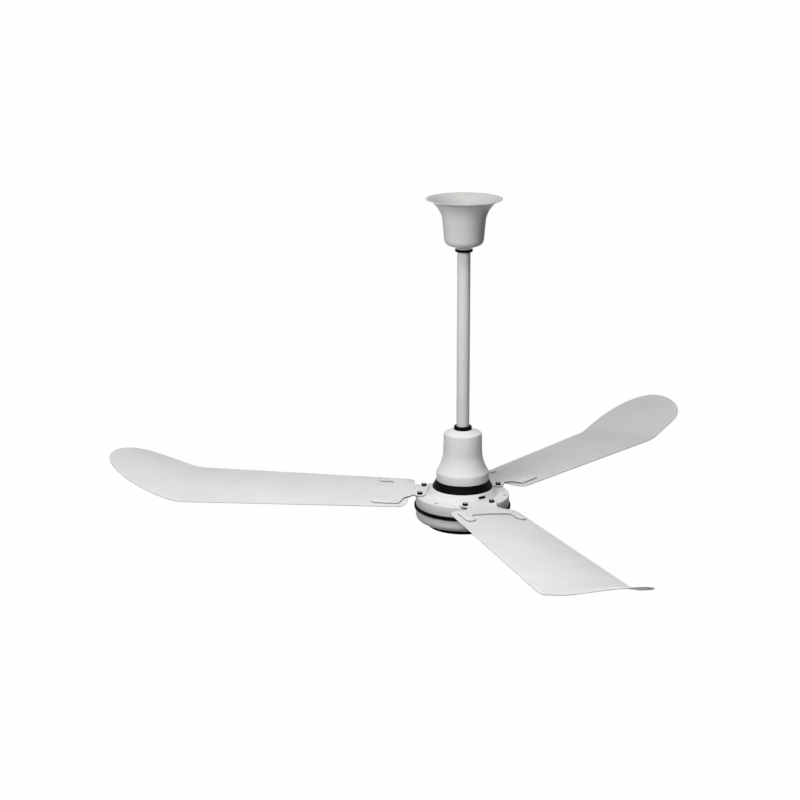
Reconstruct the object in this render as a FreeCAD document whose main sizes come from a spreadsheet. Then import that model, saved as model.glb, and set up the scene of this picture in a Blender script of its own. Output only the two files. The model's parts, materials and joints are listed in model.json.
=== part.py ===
import FreeCAD, Part
import math
import os
import Sketcher

# Ceiling fan hung from a hook. Millimetres, +Z up, origin at the middle of the hanger roller.
# Motor pieces are drawn with z = 0 at the flat top of the motor, then lowered by motor_drop.

BLADES = {"back": 0, "left": 1, "front": -1}
BALLS = 9
SLOTS = 12
TERMINALS = 3

SIZES = {
    # fits and cuts
    "running_gap": 0.3,
    "fit_gap": 0.1,
    "slide_gap": 0.05,
    "overrun": 5.0,
    # hanger
    "roller_flange_radius": 12.0,
    "roller_groove_radius": 9.0,
    "roller_groove_width": 15.0,
    "roller_lip": 2.5,
    "hook_space": 16.0,
    "strap_thickness": 3.0,
    "strap_width": 24.0,
    "strap_bend_radius": 6.0,
    "strap_crown_gap": 2.0,
    "strap_tail": 10.0,
    "rod_bolt_drop": 12.0,
    "bolt_radius": 4.0,
    "bolt_head_radius": 7.0,
    "bolt_head_height": 5.0,
    "nut_height": 6.5,
    "nut_flat": 6.5,
    "bolt_tail": 6.0,
    "pin_radius": 0.9,
    "pin_length": 15.0,
    "pin_eye_radius": 2.2,
    "pin_wire_radius": 0.7,
    "pin_offset": 2.6,
    # down rod
    "rod_wall": 2.2,
    "motor_drop": 549.0,
    # ceiling canopy
    "rim_rise": 32.0,
    "canopy_sheet": 1.2,
    "rim_radius": 72.5,
    "rim_flat": 4.0,
    "flare_depth": 40.5,
    "flare_radius": 48.9,
    "throat_radius": 41.2,
    "cup_radius": 37.8,
    "cup_depth": 90.4,
    "cup_corner": 14.0,
    "neck_wall": 3.8,
    "neck_length": 5.2,
    "collar_wall": 4.4,
    "collar_height": 5.4,
    "collar_round": 1.5,
    # motor bell and its grommet, heights above the motor's flat top
    "bell_sheet": 1.2,
    "bell_lift": 1.0,
    "bell_band_height": 15.7,
    "hip_step": 0.75,
    "bell_hip_height": 2.33,
    "bell_hip_round": 4.0,
    "bell_flare_height": 38.1,
    "bell_flare_round": 70.0,
    "bell_room": 1.7,
    "bell_flare": 12.55,
    "bell_taper": 1.0,
    "bell_shoulder_height": 92.0,
    "bell_shoulder_round": 3.0,
    "bell_brow": 2.0,
    "bell_brow_rise": 2.75,
    "bell_crown_rise": 6.4,
    "grommet_seat": 1.0,
    "bell_hole_room": 3.0,
    "grommet_flange": 1.8,
    "grommet_height": 7.0,
    "grommet_round": 2.0,
    "grommet_lip": 3.2,
    # dust skirt
    "skirt_inset": 0.2,
    "skirt_foot_edge": 2.0,
    "skirt_slope": 3.4,
    "skirt_step_height": 8.6,
    "skirt_step": 0.8,
    "skirt_upper_slope": 2.2,
    "skirt_height": 14.3,
    "bell_clearance": 1.4,
    "skirt_collar_wall": 2.6,
    "skirt_collar_rise": 5.5,
    # upper motor cover
    "cover_wall": 3.0,
    "flat_ring_width": 23.1,
    "cover_round": 2.0,
    "cover_side": 20.2,
    "shoulder_height": 14.2,
    "shoulder_width": 12.8,
    "shoulder_run": 9.2,
    "hub_rise": 1.0,
    "seat_lip": 2.0,
    "window_length": 18.0,
    "window_height": 7.0,
    "window_angle": 15.5,
    # rotor ring with the band that shows
    "air_gap": 0.5,
    "band_proud": 3.1,
    "band_height": 6.5,
    "band_round": 1.2,
    "rotor_depth": 16.0,
    "rotor_height": 24.0,
    "end_ring_gap": 0.5,
    "end_ring_height": 4.0,
    "end_ring_inset": 1.0,
    # lower motor cover and cap
    "lower_height": 24.1,
    "lower_round": 11.0,
    "lower_hub_wall": 5.0,
    "lip_inset": 25.3,
    "lip_width": 2.7,
    "lip_height": 5.0,
    "cap_height": 11.6,
    "cap_wall": 3.0,
    "cap_floor": 2.0,
    "cap_round": 3.0,
    # shaft, bearings and what sits on the shaft
    "shaft_radius": 10.0,
    "shaft_bore": 4.5,
    "shaft_shoulder": 3.0,
    "stator_seat": 3.0,
    "shaft_tongue": 28.0,
    "shaft_tail": 3.0,
    "outer_race_depth": 5.5,
    "bearing_width": 12.0,
    "bearing_sink": 2.0,
    "ball_radius": 3.1,
    "inner_race_depth": 5.5,
    "ball_gap": 0.15,
    "race_gap": 1.9,
    "cage_thickness": 1.6,
    "cage_width": 9.0,
    "ring_thickness": 1.2,
    "ring_width": 3.5,
    "ring_groove": 0.7,
    "spacer_height": 2.5,
    "spacer_wall": 2.8,
    "shaft_nut_flat": 15.0,
    "shaft_nut_height": 7.0,
    "coupling_bolt_rise": 27.5,
    # stator
    "stator_height": 22.0,
    "slot_width": 9.0,
    "slot_depth": 18.0,
    "tooth_tip": 5.5,
    "winding_height": 7.0,
    # wiring pieces inside the bell
    "plate_thickness": 2.0,
    "capacitor_thickness": 14.0,
    "capacitor_width": 26.0,
    "capacitor_height": 45.0,
    "wiring_gap": 1.18,
    "band_strap_thickness": 1.0,
    "band_strap_width": 8.0,
    "band_strap_foot": 7.0,
    "terminal_thickness": 14.0,
    "terminal_width": 28.0,
    "terminal_height": 15.0,
    "terminal_ear": 6.0,
    "terminal_ear_height": 4.0,
    "terminal_screw_radius": 2.4,
    "terminal_screw_height": 5.0,
    "plate_screw_radius": 1.5,
    "plate_screw_head_radius": 2.7,
    "plate_screw_head_height": 1.8,
    "plate_screw_tail": 3.0,
    # housing screws, sunk in the upper cover
    "housing_screw_inset": 5.0,
    "housing_screw_radius": 2.5,
    "housing_head_radius": 4.5,
    "housing_head_height": 1.5,
    "screw_reach_share": 0.74,
    "boss_radius": 5.5,
    # blade brackets
    "blade_heading": 52.73,
    "blade_pitch": 5.15,
    "bracket_thickness": 3.0,
    "bracket_bolt_inset": 11.1,
    "bracket_bolt_chord": 27.5,
    "bracket_lobe": 10.5,
    "twist_gap": 0.4,
    "twist_length": 9.5,
    "neck_run": 5.9,
    "neck_chord": 31.0,
    "neck_round": 18.0,
    "throat_run": 15.0,
    "throat_spread": 12.0,
    "fork_run": 4.0,
    "fork_spread": 12.0,
    "fork_corner_round": 7.0,
    "arm_run": 6.5,
    "arm_spread": 6.0,
    "arm_width": 20.0,
    "arm_length": 21.0,
    "crotch_run": 19.5,
    "crotch_round": 5.0,
    "bead_run": 10.0,
    "bead_length": 22.5,
    "bead_width": 8.0,
    "bead_height": 1.2,
    "screw_radius": 3.0,
    "screw_reach": 8.0,
    "screw_head_radius": 3.2,
    "screw_head_height": 1.1,
    "washer_radius": 5.2,
    "washer_height": 4.6,
    "washer_floor": 3.3,
    "washer_lip": 1.8,
    "screw_boss_depth": 10.0,
    # blades
    "blade_thickness": 1.5,
    "camber_radius": 495.0,
    "root_gap": 10.9,
    "root_round": 18.0,
    "lead_root": 72.0,
    "lead_flare": 20.6,
    "lead_tip": 75.5,
    "trail_root": 69.0,
    "trail_flare": 20.8,
    "trail_tip": 143.2,
    "apex_chord": 2.8,
    "sweep_radius": 711.0,
    "upturn_length": 176.5,
    "bend_round": 120.0,
    "bend_angle": 17.4,
    "front_extra_angle": 1.8,
    "rivet_inset": 2.5,
    "rivet_end_inset": 0.5,
    "rivet_radius": 2.4,
    "rivet_head_radius": 3.8,
    "rivet_head_height": 1.2,
}

doc = FreeCAD.newDocument("CeilingFan")
sheet = doc.addObject("Spreadsheet::Sheet", "Sizes")
for row, (alias, number) in enumerate(SIZES.items(), start=1):
    sheet.set(f"A{row}", alias)
    sheet.set(f"B{row}", str(number))
    sheet.setAlias(f"B{row}", alias)
doc.recompute()


class Size:
    """A number of the sheet, or one worked out from such numbers, with the expression that says so."""

    def __init__(self, value, text):
        self.value = value
        self.text = text

    def joined(self, sign, other, value):
        return Size(value, f"({self.text} {sign} {as_size(other).text})")

    def __add__(self, other):
        return self.joined("+", other, self.value + as_size(other).value)

    def __sub__(self, other):
        return self.joined("-", other, self.value - as_size(other).value)

    def __mul__(self, other):
        return self.joined("*", other, self.value * as_size(other).value)

    def __truediv__(self, other):
        return self.joined("/", other, self.value / as_size(other).value)

    def __neg__(self):
        return Size(-self.value, f"(-{self.text})")

    def sine(self):
        return Size(math.sin(math.radians(self.value)), f"sin({self.text} * 1 deg)")

    def cosine(self):
        return Size(math.cos(math.radians(self.value)), f"cos({self.text} * 1 deg)")

    def root(self):
        return Size(math.sqrt(self.value), f"sqrt({self.text})")


def as_size(number):
    return number if isinstance(number, Size) else Size(number, repr(number))


class Sizes:
    """The sheet's numbers by name."""

    def __getattr__(self, name):
        return Size(float(sheet.get(name)), f"Sizes.{name}")


at = Sizes()
ZERO = as_size(0)
nodes = []


# Drawing helpers

def node(shape, label):
    """Names a finished sub-part."""
    shape.Label = label
    nodes.append(shape)
    return shape


def tie(thing, **values):
    """Binds properties of an object to the sheet."""
    for name, size in values.items():
        thing.setExpression(name, as_size(size).text)
    return thing


def move(thing, x=None, y=None, z=None, turn=None):
    """Places an object: offsets along the axes, and a turn about Z in degrees."""
    for name, size in (("Base.x", x), ("Base.y", y), ("Base.z", z), ("Rotation.Yaw", turn)):
        if size is not None:
            thing.setExpression(f"Placement.{name}", as_size(size).text)
    return thing


def lower(thing, turn=None):
    """Lowers a motor piece to the motor, and turns it about the shaft."""
    return move(thing, z=-at.motor_drop, turn=turn)


def plane_of(body, role):
    return next(feature for feature in body.Origin.OriginFeatures if feature.Role == role)


def new_sketch(body, name, role):
    sketch = body.newObject("Sketcher::SketchObject", name)
    sketch.AttachmentSupport = [(plane_of(body, role), "")]
    sketch.MapMode = "FlatFace"
    return sketch


def arc_between(start, end, radius, side):
    """The short arc from start to end that turns to the given side."""
    chord = end - start
    middle = (start + end) * 0.5
    left = FreeCAD.Vector(-chord.y, chord.x, 0).normalize()
    reach = math.sqrt(max(radius ** 2 - (chord.Length / 2) ** 2, 0))
    centre = middle + left * (reach if side == "left" else -reach)
    first, last = (start, end) if side == "left" else (end, start)
    circle = Part.Circle(centre, FreeCAD.Vector(0, 0, 1), radius)
    return Part.ArcOfCircle(circle, *[math.atan2(p.y - centre.y, p.x - centre.x) for p in (first, last)])


def draw(sketch, corners, closed=True):
    """Draws corners joined by lines, or by an arc where a corner adds a radius and a side."""
    points = [FreeCAD.Vector(as_size(c[0]).value, as_size(c[1]).value, 0) for c in corners]
    count = len(corners) if closed else len(corners) - 1
    starts, ends = [], []
    for i in range(count):
        start, end = points[i], points[(i + 1) % len(points)]
        if len(corners[i]) == 2:
            sketch.addGeometry(Part.LineSegment(start, end))
            sides = (1, 2)
        else:
            sketch.addGeometry(arc_between(start, end, corners[i][2].value, corners[i][3]))
            sides = (1, 2) if corners[i][3] == "left" else (2, 1)
        starts.append(sides[0])
        ends.append(sides[1])
    for i in range(count if closed else count - 1):
        after = (i + 1) % count
        sketch.addConstraint(Sketcher.Constraint("Coincident", i, ends[i], after, starts[after]))
    for i, corner in enumerate(corners):
        item, place = (i, starts[i]) if i < count else (count - 1, ends[-1])
        for kind, axis, size in (("DistanceX", -2, corner[0]), ("DistanceY", -1, corner[1])):
            size = as_size(size)
            if size.text == ZERO.text:
                sketch.addConstraint(Sketcher.Constraint("PointOnObject", item, place, axis))
                continue
            number = sketch.addConstraint(Sketcher.Constraint(kind, item, place, size.value))
            sketch.setExpression(f"Constraints[{number}]", size.text)
        if len(corner) > 2 and i < count:
            number = sketch.addConstraint(Sketcher.Constraint("Radius", i, corner[2].value))
            sketch.setExpression(f"Constraints[{number}]", corner[2].text)
    return sketch


def turned(name, corners):
    """A body turned about Z from an outline of radii and heights."""
    body = doc.addObject("PartDesign::Body", name)
    sketch = draw(new_sketch(body, name + "_outline", "XZ_Plane"), corners)
    turn = body.newObject("PartDesign::Revolution", name + "_turn")
    turn.Profile = sketch
    turn.ReferenceAxis = (sketch, ["V_Axis"])
    turn.Angle = 360
    return body


def padded(name, role, corners, length, symmetric=False):
    """A body padded from an outline on one of the origin planes."""
    body = doc.addObject("PartDesign::Body", name)
    sketch = draw(new_sketch(body, name + "_outline", role), corners)
    pad = body.newObject("PartDesign::Pad", name + "_pad")
    pad.Profile = sketch
    pad.SideType = "Symmetric" if symmetric else "One side"
    tie(pad, Length=length)
    return body


def box(name, low, high):
    """A box between two corners."""
    block = doc.addObject("Part::Box", name)
    tie(block, Length=high[0] - low[0], Width=high[1] - low[1], Height=high[2] - low[2])
    return move(block, *low)


def cylinder(name, radius, height, place=(ZERO, ZERO, ZERO), axis="Z"):
    """A cylinder that starts at place and runs along an axis."""
    rod = tie(doc.addObject("Part::Cylinder", name), Radius=radius, Height=height)
    return move(rod_along(rod, axis), *place)


def rod_along(thing, axis):
    turns = {"X": FreeCAD.Rotation(90, 0, 90), "Y": FreeCAD.Rotation(0, 0, -90), "Z": FreeCAD.Rotation()}
    thing.Placement = FreeCAD.Placement(FreeCAD.Vector(), turns[axis])
    return thing


def hexagon(name, flat, height, place=(ZERO, ZERO, ZERO), axis="Z"):
    """A hexagon prism, flat being half the width across its flats."""
    prism = doc.addObject("Part::Prism", name)
    prism.Polygon = 6
    tie(prism, Circumradius=flat / as_size(30).cosine(), Height=height)
    return move(rod_along(prism, axis), *place)


def group(name, shapes):
    compound = doc.addObject("Part::Compound", name)
    compound.Links = shapes
    return compound


def fuse(name, shapes):
    union = doc.addObject("Part::MultiFuse", name)
    union.Shapes = shapes
    return union


def cut(name, base, tools):
    result = doc.addObject("Part::Cut", name)
    result.Base = base
    result.Tool = tools[0] if len(tools) == 1 else group(name + "_tools", tools)
    return result


def common(name, base, tool):
    result = doc.addObject("Part::Common", name)
    result.Base = base
    result.Tool = tool
    return result


# Heights and distances that several pieces share, from the shaft outwards

rod_bore = at.shaft_radius + at.running_gap
rod_radius = rod_bore + at.rod_wall
neck_radius = rod_radius + at.neck_wall
collar_radius = rod_radius + at.collar_wall
bell_hole_radius = rod_radius + at.bell_hole_room
grommet_radius = bell_hole_radius + at.grommet_flange
leg_face = rod_radius + at.running_gap
leg_back = leg_face + at.strap_thickness
rod_top = -(at.roller_groove_radius + at.hook_space)
rod_bolt_height = rod_top - at.rod_bolt_drop
bolt_hole = at.bolt_radius + at.fit_gap
rod_slide = rod_radius + at.slide_gap
neck_foot = at.rim_rise - at.cup_depth - at.neck_length

wiring_near = at.shaft_nut_flat / as_size(30).cosine() + at.wiring_gap
capacitor_far = wiring_near + at.capacitor_thickness
capacitor_side = at.capacitor_width / 2
capacitor_corner = (capacitor_far * capacitor_far + capacitor_side * capacitor_side).root()
bell_waist_radius = capacitor_corner + at.bell_room + at.bell_sheet
bell_shoulder_radius = bell_waist_radius - at.bell_taper
bell_hip_radius = bell_waist_radius + at.bell_flare
bell_band_radius = bell_hip_radius + at.hip_step
skirt_collar_radius = bell_band_radius - at.bell_sheet - at.bell_clearance
hub_radius = skirt_collar_radius - at.skirt_collar_wall
shoulder_radius = hub_radius + at.shoulder_width
shoulder_foot_radius = shoulder_radius + at.shoulder_run
cover_radius = shoulder_foot_radius + at.flat_ring_width
band_radius = cover_radius + at.band_proud
rotor_outer_radius = cover_radius - at.cover_wall - at.fit_gap
rotor_inner_radius = rotor_outer_radius - at.rotor_depth
stator_radius = rotor_inner_radius - at.air_gap
slot_outer_radius = stator_radius - at.tooth_tip
slot_inner_radius = slot_outer_radius - at.slot_depth
housing_screw_circle = rotor_outer_radius - at.housing_screw_inset
end_ring_radius = housing_screw_circle - at.boss_radius - at.end_ring_gap
lip_radius = cover_radius - at.lip_inset
ball_circle = at.shaft_radius + at.inner_race_depth
bearing_radius = ball_circle + at.outer_race_depth
lower_hub_radius = bearing_radius + at.lower_hub_wall
shaft_shoulder_radius = at.shaft_radius + at.shaft_shoulder
stator_seat_radius = shaft_shoulder_radius + at.stator_seat

cover_foot = -at.cover_side
band_foot = cover_foot - at.band_height
rotor_top = cover_foot - (at.band_height - at.rotor_height) / 2
rotor_foot = rotor_top - at.rotor_height
stator_top = rotor_top - (at.rotor_height - at.stator_height) / 2
stator_foot = stator_top - at.stator_height
lower_foot = band_foot - at.lower_height
lower_floor = lower_foot + at.cover_wall
housing_screw_foot = rotor_foot - (rotor_foot - lower_floor) * at.screw_reach_share
upper_bearing_foot = at.shoulder_height - at.fit_gap * 2
upper_bearing_top = upper_bearing_foot + at.bearing_width
lower_bearing_foot = lower_foot - at.bearing_sink
lower_bearing_top = lower_bearing_foot + at.bearing_width
shaft_foot = lower_bearing_foot - at.shaft_tail
hub_top = upper_bearing_top + at.hub_rise
skirt_top = at.shoulder_height + at.skirt_height
spacer_top = upper_bearing_top + at.spacer_height
plate_foot = spacer_top + at.shaft_nut_height
plate_top = plate_foot + at.plate_thickness
rod_foot = plate_top + at.shaft_nut_height
coupling_height = rod_foot + at.coupling_bolt_rise
shaft_top = coupling_height + at.shaft_tongue
rod_foot_drop = rod_foot - at.motor_drop
bell_foot = skirt_top + at.bell_lift
bell_band_top = bell_foot + at.bell_band_height
bell_hip_top = bell_band_top + at.bell_hip_height
bell_waist = bell_hip_top + at.bell_flare_height
bell_shoulder = bell_foot + at.bell_shoulder_height
bell_brow_top = bell_shoulder + at.bell_brow_rise
bell_top = bell_brow_top + at.bell_crown_rise

bracket_bolt_radial = cover_radius - at.bracket_bolt_inset
twist_start = cover_radius + at.twist_gap
twist_end = twist_start + at.twist_length
neck_radial = cover_radius + at.neck_run
throat_radial = neck_radial + at.throat_run
throat_chord = at.neck_chord + at.throat_spread
fork_corner_radial = throat_radial + at.fork_run
fork_corner_chord = throat_chord + at.fork_spread
arm_start_radial = fork_corner_radial + at.arm_run
arm_chord = fork_corner_chord + at.arm_spread
arm_middle = arm_chord - at.arm_width / 2
crotch_radial = arm_start_radial + at.crotch_run
arm_end_radial = crotch_radial + at.arm_length
bracket_stock_half = arm_chord + at.overrun
rivet_near_radial = arm_start_radial + at.rivet_inset
rivet_far_radial = arm_end_radial - at.rivet_end_inset
bead_start_radial = arm_start_radial + at.bead_run
root_radial = cover_radius + at.root_gap
lead_end = at.lead_root + at.lead_flare
lead_end_radial = at.sweep_radius - at.lead_tip
trail_end = at.trail_root + at.trail_flare
trail_end_radial = at.sweep_radius - at.trail_tip
bend_radial = at.sweep_radius - at.upturn_length
blade_stock = (lead_end + trail_end) / 2 + at.overrun * 4
blade_bends = {"back": at.bend_angle, "left": at.bend_angle, "front": at.bend_angle + at.front_extra_angle}
fan_turns = {name: at.blade_heading + 360 / len(BLADES) * step for name, step in BLADES.items()}
between_blades = -180 / len(BLADES)


# Hanger

def hanger_roller():
    lip = at.roller_groove_width / 2
    end = leg_face - at.running_gap
    bore = at.bolt_radius + at.slide_gap
    spool = turned("hanger_roller", [
        (bore, -end), (at.roller_flange_radius, -end), (at.roller_flange_radius, -(lip + at.roller_lip)),
        (at.roller_groove_radius, -lip), (at.roller_groove_radius, lip),
        (at.roller_flange_radius, lip + at.roller_lip), (at.roller_flange_radius, end), (bore, end)])
    node(rod_along(spool, "X"), "hanger_roller")


def hanger_shackle():
    crown = at.roller_flange_radius + at.strap_crown_gap
    inner = at.strap_bend_radius - at.strap_thickness
    top = crown + at.strap_thickness
    bend = top - at.strap_bend_radius
    tail = rod_bolt_height - at.strap_tail
    strap = padded("shackle_strap", "XZ_Plane", [
        (leg_back, tail), (leg_back, bend, at.strap_bend_radius, "left"),
        (leg_back - at.strap_bend_radius, top),
        (at.strap_bend_radius - leg_back, top, at.strap_bend_radius, "left"),
        (-leg_back, bend), (-leg_back, tail), (-leg_face, tail), (-leg_face, bend, inner, "right"),
        (inner - leg_face, crown), (leg_face - inner, crown, inner, "right"), (leg_face, bend),
        (leg_face, tail)],
        at.strap_width, symmetric=True)
    span = leg_back + at.overrun
    holes = [cylinder(f"shackle_hole_{i}", bolt_hole, span * 2, (-span, ZERO, height), "X")
             for i, height in enumerate((ZERO, rod_bolt_height))]
    node(cut("hanger_shackle_cut", strap, holes), "hanger_shackle")


def cross_bolt(name, half_grip, height, axis):
    """A bolt across the rod, its nut, and the split pin through its tail."""
    start = -(half_grip + at.bolt_head_height)
    nut = half_grip
    tail = nut + at.nut_height + at.bolt_tail
    pin_place = nut + at.nut_height + at.pin_offset

    def spot(along):
        return (along, ZERO, height) if axis == "X" else (ZERO, along, height)

    shank = cylinder(name + "_shank", at.bolt_radius, tail - start, spot(start), axis)
    head = cylinder(name + "_head", at.bolt_head_radius, at.bolt_head_height, spot(start), axis)
    drill = cylinder(name + "_drill", at.pin_radius + at.slide_gap, at.pin_length,
                     spot(pin_place)[:2] + (height - at.pin_length / 2,))
    node(cut(name + "_cut", fuse(name + "_solid", [shank, head]), [drill]), name)
    blank = hexagon(name + "_nut_blank", at.nut_flat, at.nut_height, spot(nut), axis)
    bore = cylinder(name + "_nut_bore", at.bolt_radius + at.slide_gap, at.nut_height, spot(nut), axis)
    pin_foot = spot(pin_place)[:2] + (height - at.pin_length / 2,)
    pin = cylinder(name + "_pin_leg", at.pin_radius, at.pin_length, pin_foot)
    eye = doc.addObject("Part::Torus", name + "_pin_eye")
    tie(eye, Radius1=at.pin_eye_radius, Radius2=at.pin_wire_radius)
    eye.Placement = FreeCAD.Placement(FreeCAD.Vector(), FreeCAD.Rotation(FreeCAD.Vector(1, 0, 0), 90))
    if axis == "Y":
        eye.Placement = FreeCAD.Placement(FreeCAD.Vector(), FreeCAD.Rotation(FreeCAD.Vector(0, 1, 0), 90))
    move(eye, *(spot(pin_place)[:2] + (height + at.pin_length / 2 + at.pin_eye_radius,)))
    return cut(name + "_nut", blank, [bore]), fuse(name + "_pin", [pin, eye])


def cross_bolts():
    pairs = [cross_bolt("hanger_bolt", leg_back, ZERO, "X"),
             cross_bolt("rod_bolt", leg_back, rod_bolt_height, "X"),
             cross_bolt("coupling_bolt", rod_radius, coupling_height - at.motor_drop, "Y")]
    node(group("bolt_nuts_group", [pair[0] for pair in pairs]), "bolt_nuts")
    node(group("split_pins_group", [pair[1] for pair in pairs]), "split_pins")


# Rod and canopy

def downrod():
    tube = turned("downrod_tube", [
        (rod_bore, rod_foot_drop), (rod_radius, rod_foot_drop), (rod_radius, rod_top), (rod_bore, rod_top)])
    span = rod_radius + at.overrun
    upper = cylinder("downrod_upper_hole", bolt_hole, span * 2, (-span, ZERO, rod_bolt_height), "X")
    low = coupling_height - at.motor_drop
    lower_hole = cylinder("downrod_lower_hole", bolt_hole, span * 2, (ZERO, -span, low), "Y")
    node(cut("downrod_cut", tube, [upper, lower_hole]), "downrod")


def ceiling_canopy():
    rim, sheet_gauge = at.rim_rise, at.canopy_sheet
    throat = rim - at.flare_depth
    floor = rim - at.cup_depth
    corner = floor + at.cup_corner
    inner_corner = at.cup_corner - sheet_gauge
    bore = rod_radius + at.running_gap
    node(turned("ceiling_canopy", [
        (at.rim_radius, rim),
        (at.rim_radius - at.rim_flat - sheet_gauge / 2, rim, at.flare_radius + sheet_gauge, "left"),
        (at.throat_radius - sheet_gauge, throat),
        (at.cup_radius - sheet_gauge, corner, inner_corner, "right"),
        (at.cup_radius - at.cup_corner, floor + sheet_gauge), (bore, floor + sheet_gauge), (bore, neck_foot),
        (neck_radius, neck_foot), (neck_radius, floor),
        (at.cup_radius - at.cup_corner, floor, at.cup_corner, "left"),
        (at.cup_radius, corner), (at.throat_radius, throat, at.flare_radius, "right"),
        (at.rim_radius - at.rim_flat, rim - sheet_gauge),
        (at.rim_radius, rim - sheet_gauge)]), "ceiling_canopy")


def canopy_collar():
    foot = neck_foot - at.collar_height
    edge = collar_radius - at.collar_round
    node(turned("canopy_collar", [
        (rod_slide, neck_foot), (rod_slide, foot), (edge, foot, at.collar_round, "left"),
        (collar_radius, foot + at.collar_round),
        (collar_radius, neck_foot - at.collar_round, at.collar_round, "left"),
        (edge, neck_foot)]), "canopy_collar")


# Motor bell

def motor_bell():
    gauge = at.bell_sheet
    brow = bell_shoulder_radius - at.bell_brow
    seat = grommet_radius + at.grommet_seat
    inner_round = at.bell_shoulder_round - gauge
    inner_share = inner_round / at.bell_shoulder_round
    inner_shoulder = bell_shoulder_radius - gauge
    node(lower(turned("motor_bell", [
        (bell_band_radius, bell_foot), (bell_band_radius, bell_band_top, at.bell_hip_round, "left"),
        (bell_hip_radius, bell_hip_top, at.bell_flare_round, "right"), (bell_waist_radius, bell_waist),
        (bell_shoulder_radius, bell_shoulder, at.bell_shoulder_round, "left"), (brow, bell_brow_top),
        (seat, bell_top), (bell_hole_radius, bell_top),
        (bell_hole_radius, bell_top - gauge), (seat, bell_top - gauge),
        (inner_shoulder - at.bell_brow * inner_share, bell_shoulder + at.bell_brow_rise * inner_share,
         inner_round, "right"),
        (inner_shoulder, bell_shoulder),
        (bell_waist_radius - gauge, bell_waist, at.bell_flare_round + gauge, "left"),
        (bell_hip_radius - gauge, bell_hip_top, at.bell_hip_round - gauge, "right"),
        (bell_band_radius - gauge, bell_band_top), (bell_band_radius - gauge, bell_foot)])), "motor_bell")


def bell_grommet():
    waist = bell_hole_radius - at.fit_gap
    under = bell_top - at.bell_sheet - at.fit_gap
    over = bell_top + at.fit_gap
    top = over + at.grommet_height
    node(lower(turned("bell_grommet", [
        (rod_slide, under - at.grommet_lip), (grommet_radius, under - at.grommet_lip),
        (grommet_radius, under), (waist, under), (waist, over), (grommet_radius, over),
        (grommet_radius, top - at.grommet_round, at.grommet_round, "left"),
        (grommet_radius - at.grommet_round, top), (rod_slide, top)])), "bell_grommet")


# Motor covers

def dust_skirt():
    inner = hub_radius + at.fit_gap
    foot = at.shoulder_height
    edge = shoulder_radius - at.skirt_inset
    step_radius = edge - at.skirt_slope
    ledge_radius = step_radius - at.skirt_step
    step = foot + at.skirt_step_height
    crest = skirt_top + at.skirt_collar_rise
    node(lower(turned("dust_skirt", [
        (inner, foot), (edge, foot), (edge, foot + at.skirt_foot_edge), (step_radius, step),
        (ledge_radius, step), (ledge_radius, step + at.skirt_step),
        (ledge_radius - at.skirt_upper_slope, skirt_top),
        (skirt_collar_radius, skirt_top), (skirt_collar_radius, crest), (inner, crest)])), "dust_skirt")


def screw_spots():
    """The bracket screws' places on one blade: radial and chord."""
    return [(bracket_bolt_radial, at.bracket_bolt_chord), (bracket_bolt_radial, -at.bracket_bolt_chord)]


def around(shape_maker, name, offset=0):
    """Three turned copies of a shape, one for each blade."""
    return [move(shape_maker(f"{name}_{blade}"), turn=heading + offset)
            for blade, heading in fan_turns.items()]


def upper_cover():
    wall = at.cover_wall
    under = at.shoulder_height - wall
    lean = shoulder_foot_radius - wall / 2
    seat = bearing_radius - at.seat_lip
    shell = turned("upper_shell", [
        (bearing_radius, hub_top), (bearing_radius, upper_bearing_foot), (seat, upper_bearing_foot),
        (seat, under), (shoulder_radius - wall / 2, under), (lean, -wall), (cover_radius - wall, -wall),
        (cover_radius - wall, cover_foot), (cover_radius, cover_foot),
        (cover_radius, -at.cover_round, at.cover_round, "left"), (cover_radius - at.cover_round, ZERO),
        (shoulder_foot_radius, ZERO), (shoulder_radius, at.shoulder_height),
        (hub_radius, at.shoulder_height), (hub_radius, hub_top)])
    depth = at.screw_boss_depth - wall / 2

    def screw_bosses(name):
        return group(name, [cylinder(f"{name}_{i}", at.boss_radius, depth, (x, y, -at.screw_boss_depth))
                            for i, (x, y) in enumerate(screw_spots())])

    def housing_boss(name):
        return group(name, [cylinder(name + "_boss", at.boss_radius, -rotor_top - wall / 2,
                                     (housing_screw_circle, ZERO, rotor_top))])

    solid = fuse("upper_solid", [shell] + around(screw_bosses, "upper_screw_bosses")
                 + around(housing_boss, "upper_housing_boss", between_blades))

    def screw_holes(name):
        drill = at.screw_radius + at.fit_gap
        length = at.screw_boss_depth + at.overrun
        return group(name, [cylinder(f"{name}_{i}", drill, length, (x, y, -at.screw_boss_depth))
                            for i, (x, y) in enumerate(screw_spots())])

    def housing_hole(name):
        shank = cylinder(name + "_shank", at.housing_screw_radius + at.fit_gap, at.overrun - rotor_top,
                         (housing_screw_circle, ZERO, rotor_top))
        sink = cylinder(name + "_sink", at.housing_head_radius + at.fit_gap, at.overrun,
                        (housing_screw_circle, ZERO, -at.housing_head_height))
        return group(name, [shank, sink])

    slope_run = shoulder_foot_radius - shoulder_radius
    slope = (slope_run * slope_run + at.shoulder_height * at.shoulder_height).root()
    rise = at.window_height * at.shoulder_height / slope / 2
    middle = at.shoulder_height / 2
    window = box("upper_window", (shoulder_radius - wall, -at.window_length / 2, middle - rise),
                 (shoulder_foot_radius + wall, at.window_length / 2, middle + rise))
    window = move(group("upper_window_place", [window]), turn=fan_turns["front"] + at.window_angle)
    tools = around(screw_holes, "upper_screw_holes")
    tools += around(housing_hole, "upper_housing_hole", between_blades) + [window]
    node(lower(cut("upper_cover_cut", solid, tools)), "upper_cover")


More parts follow.
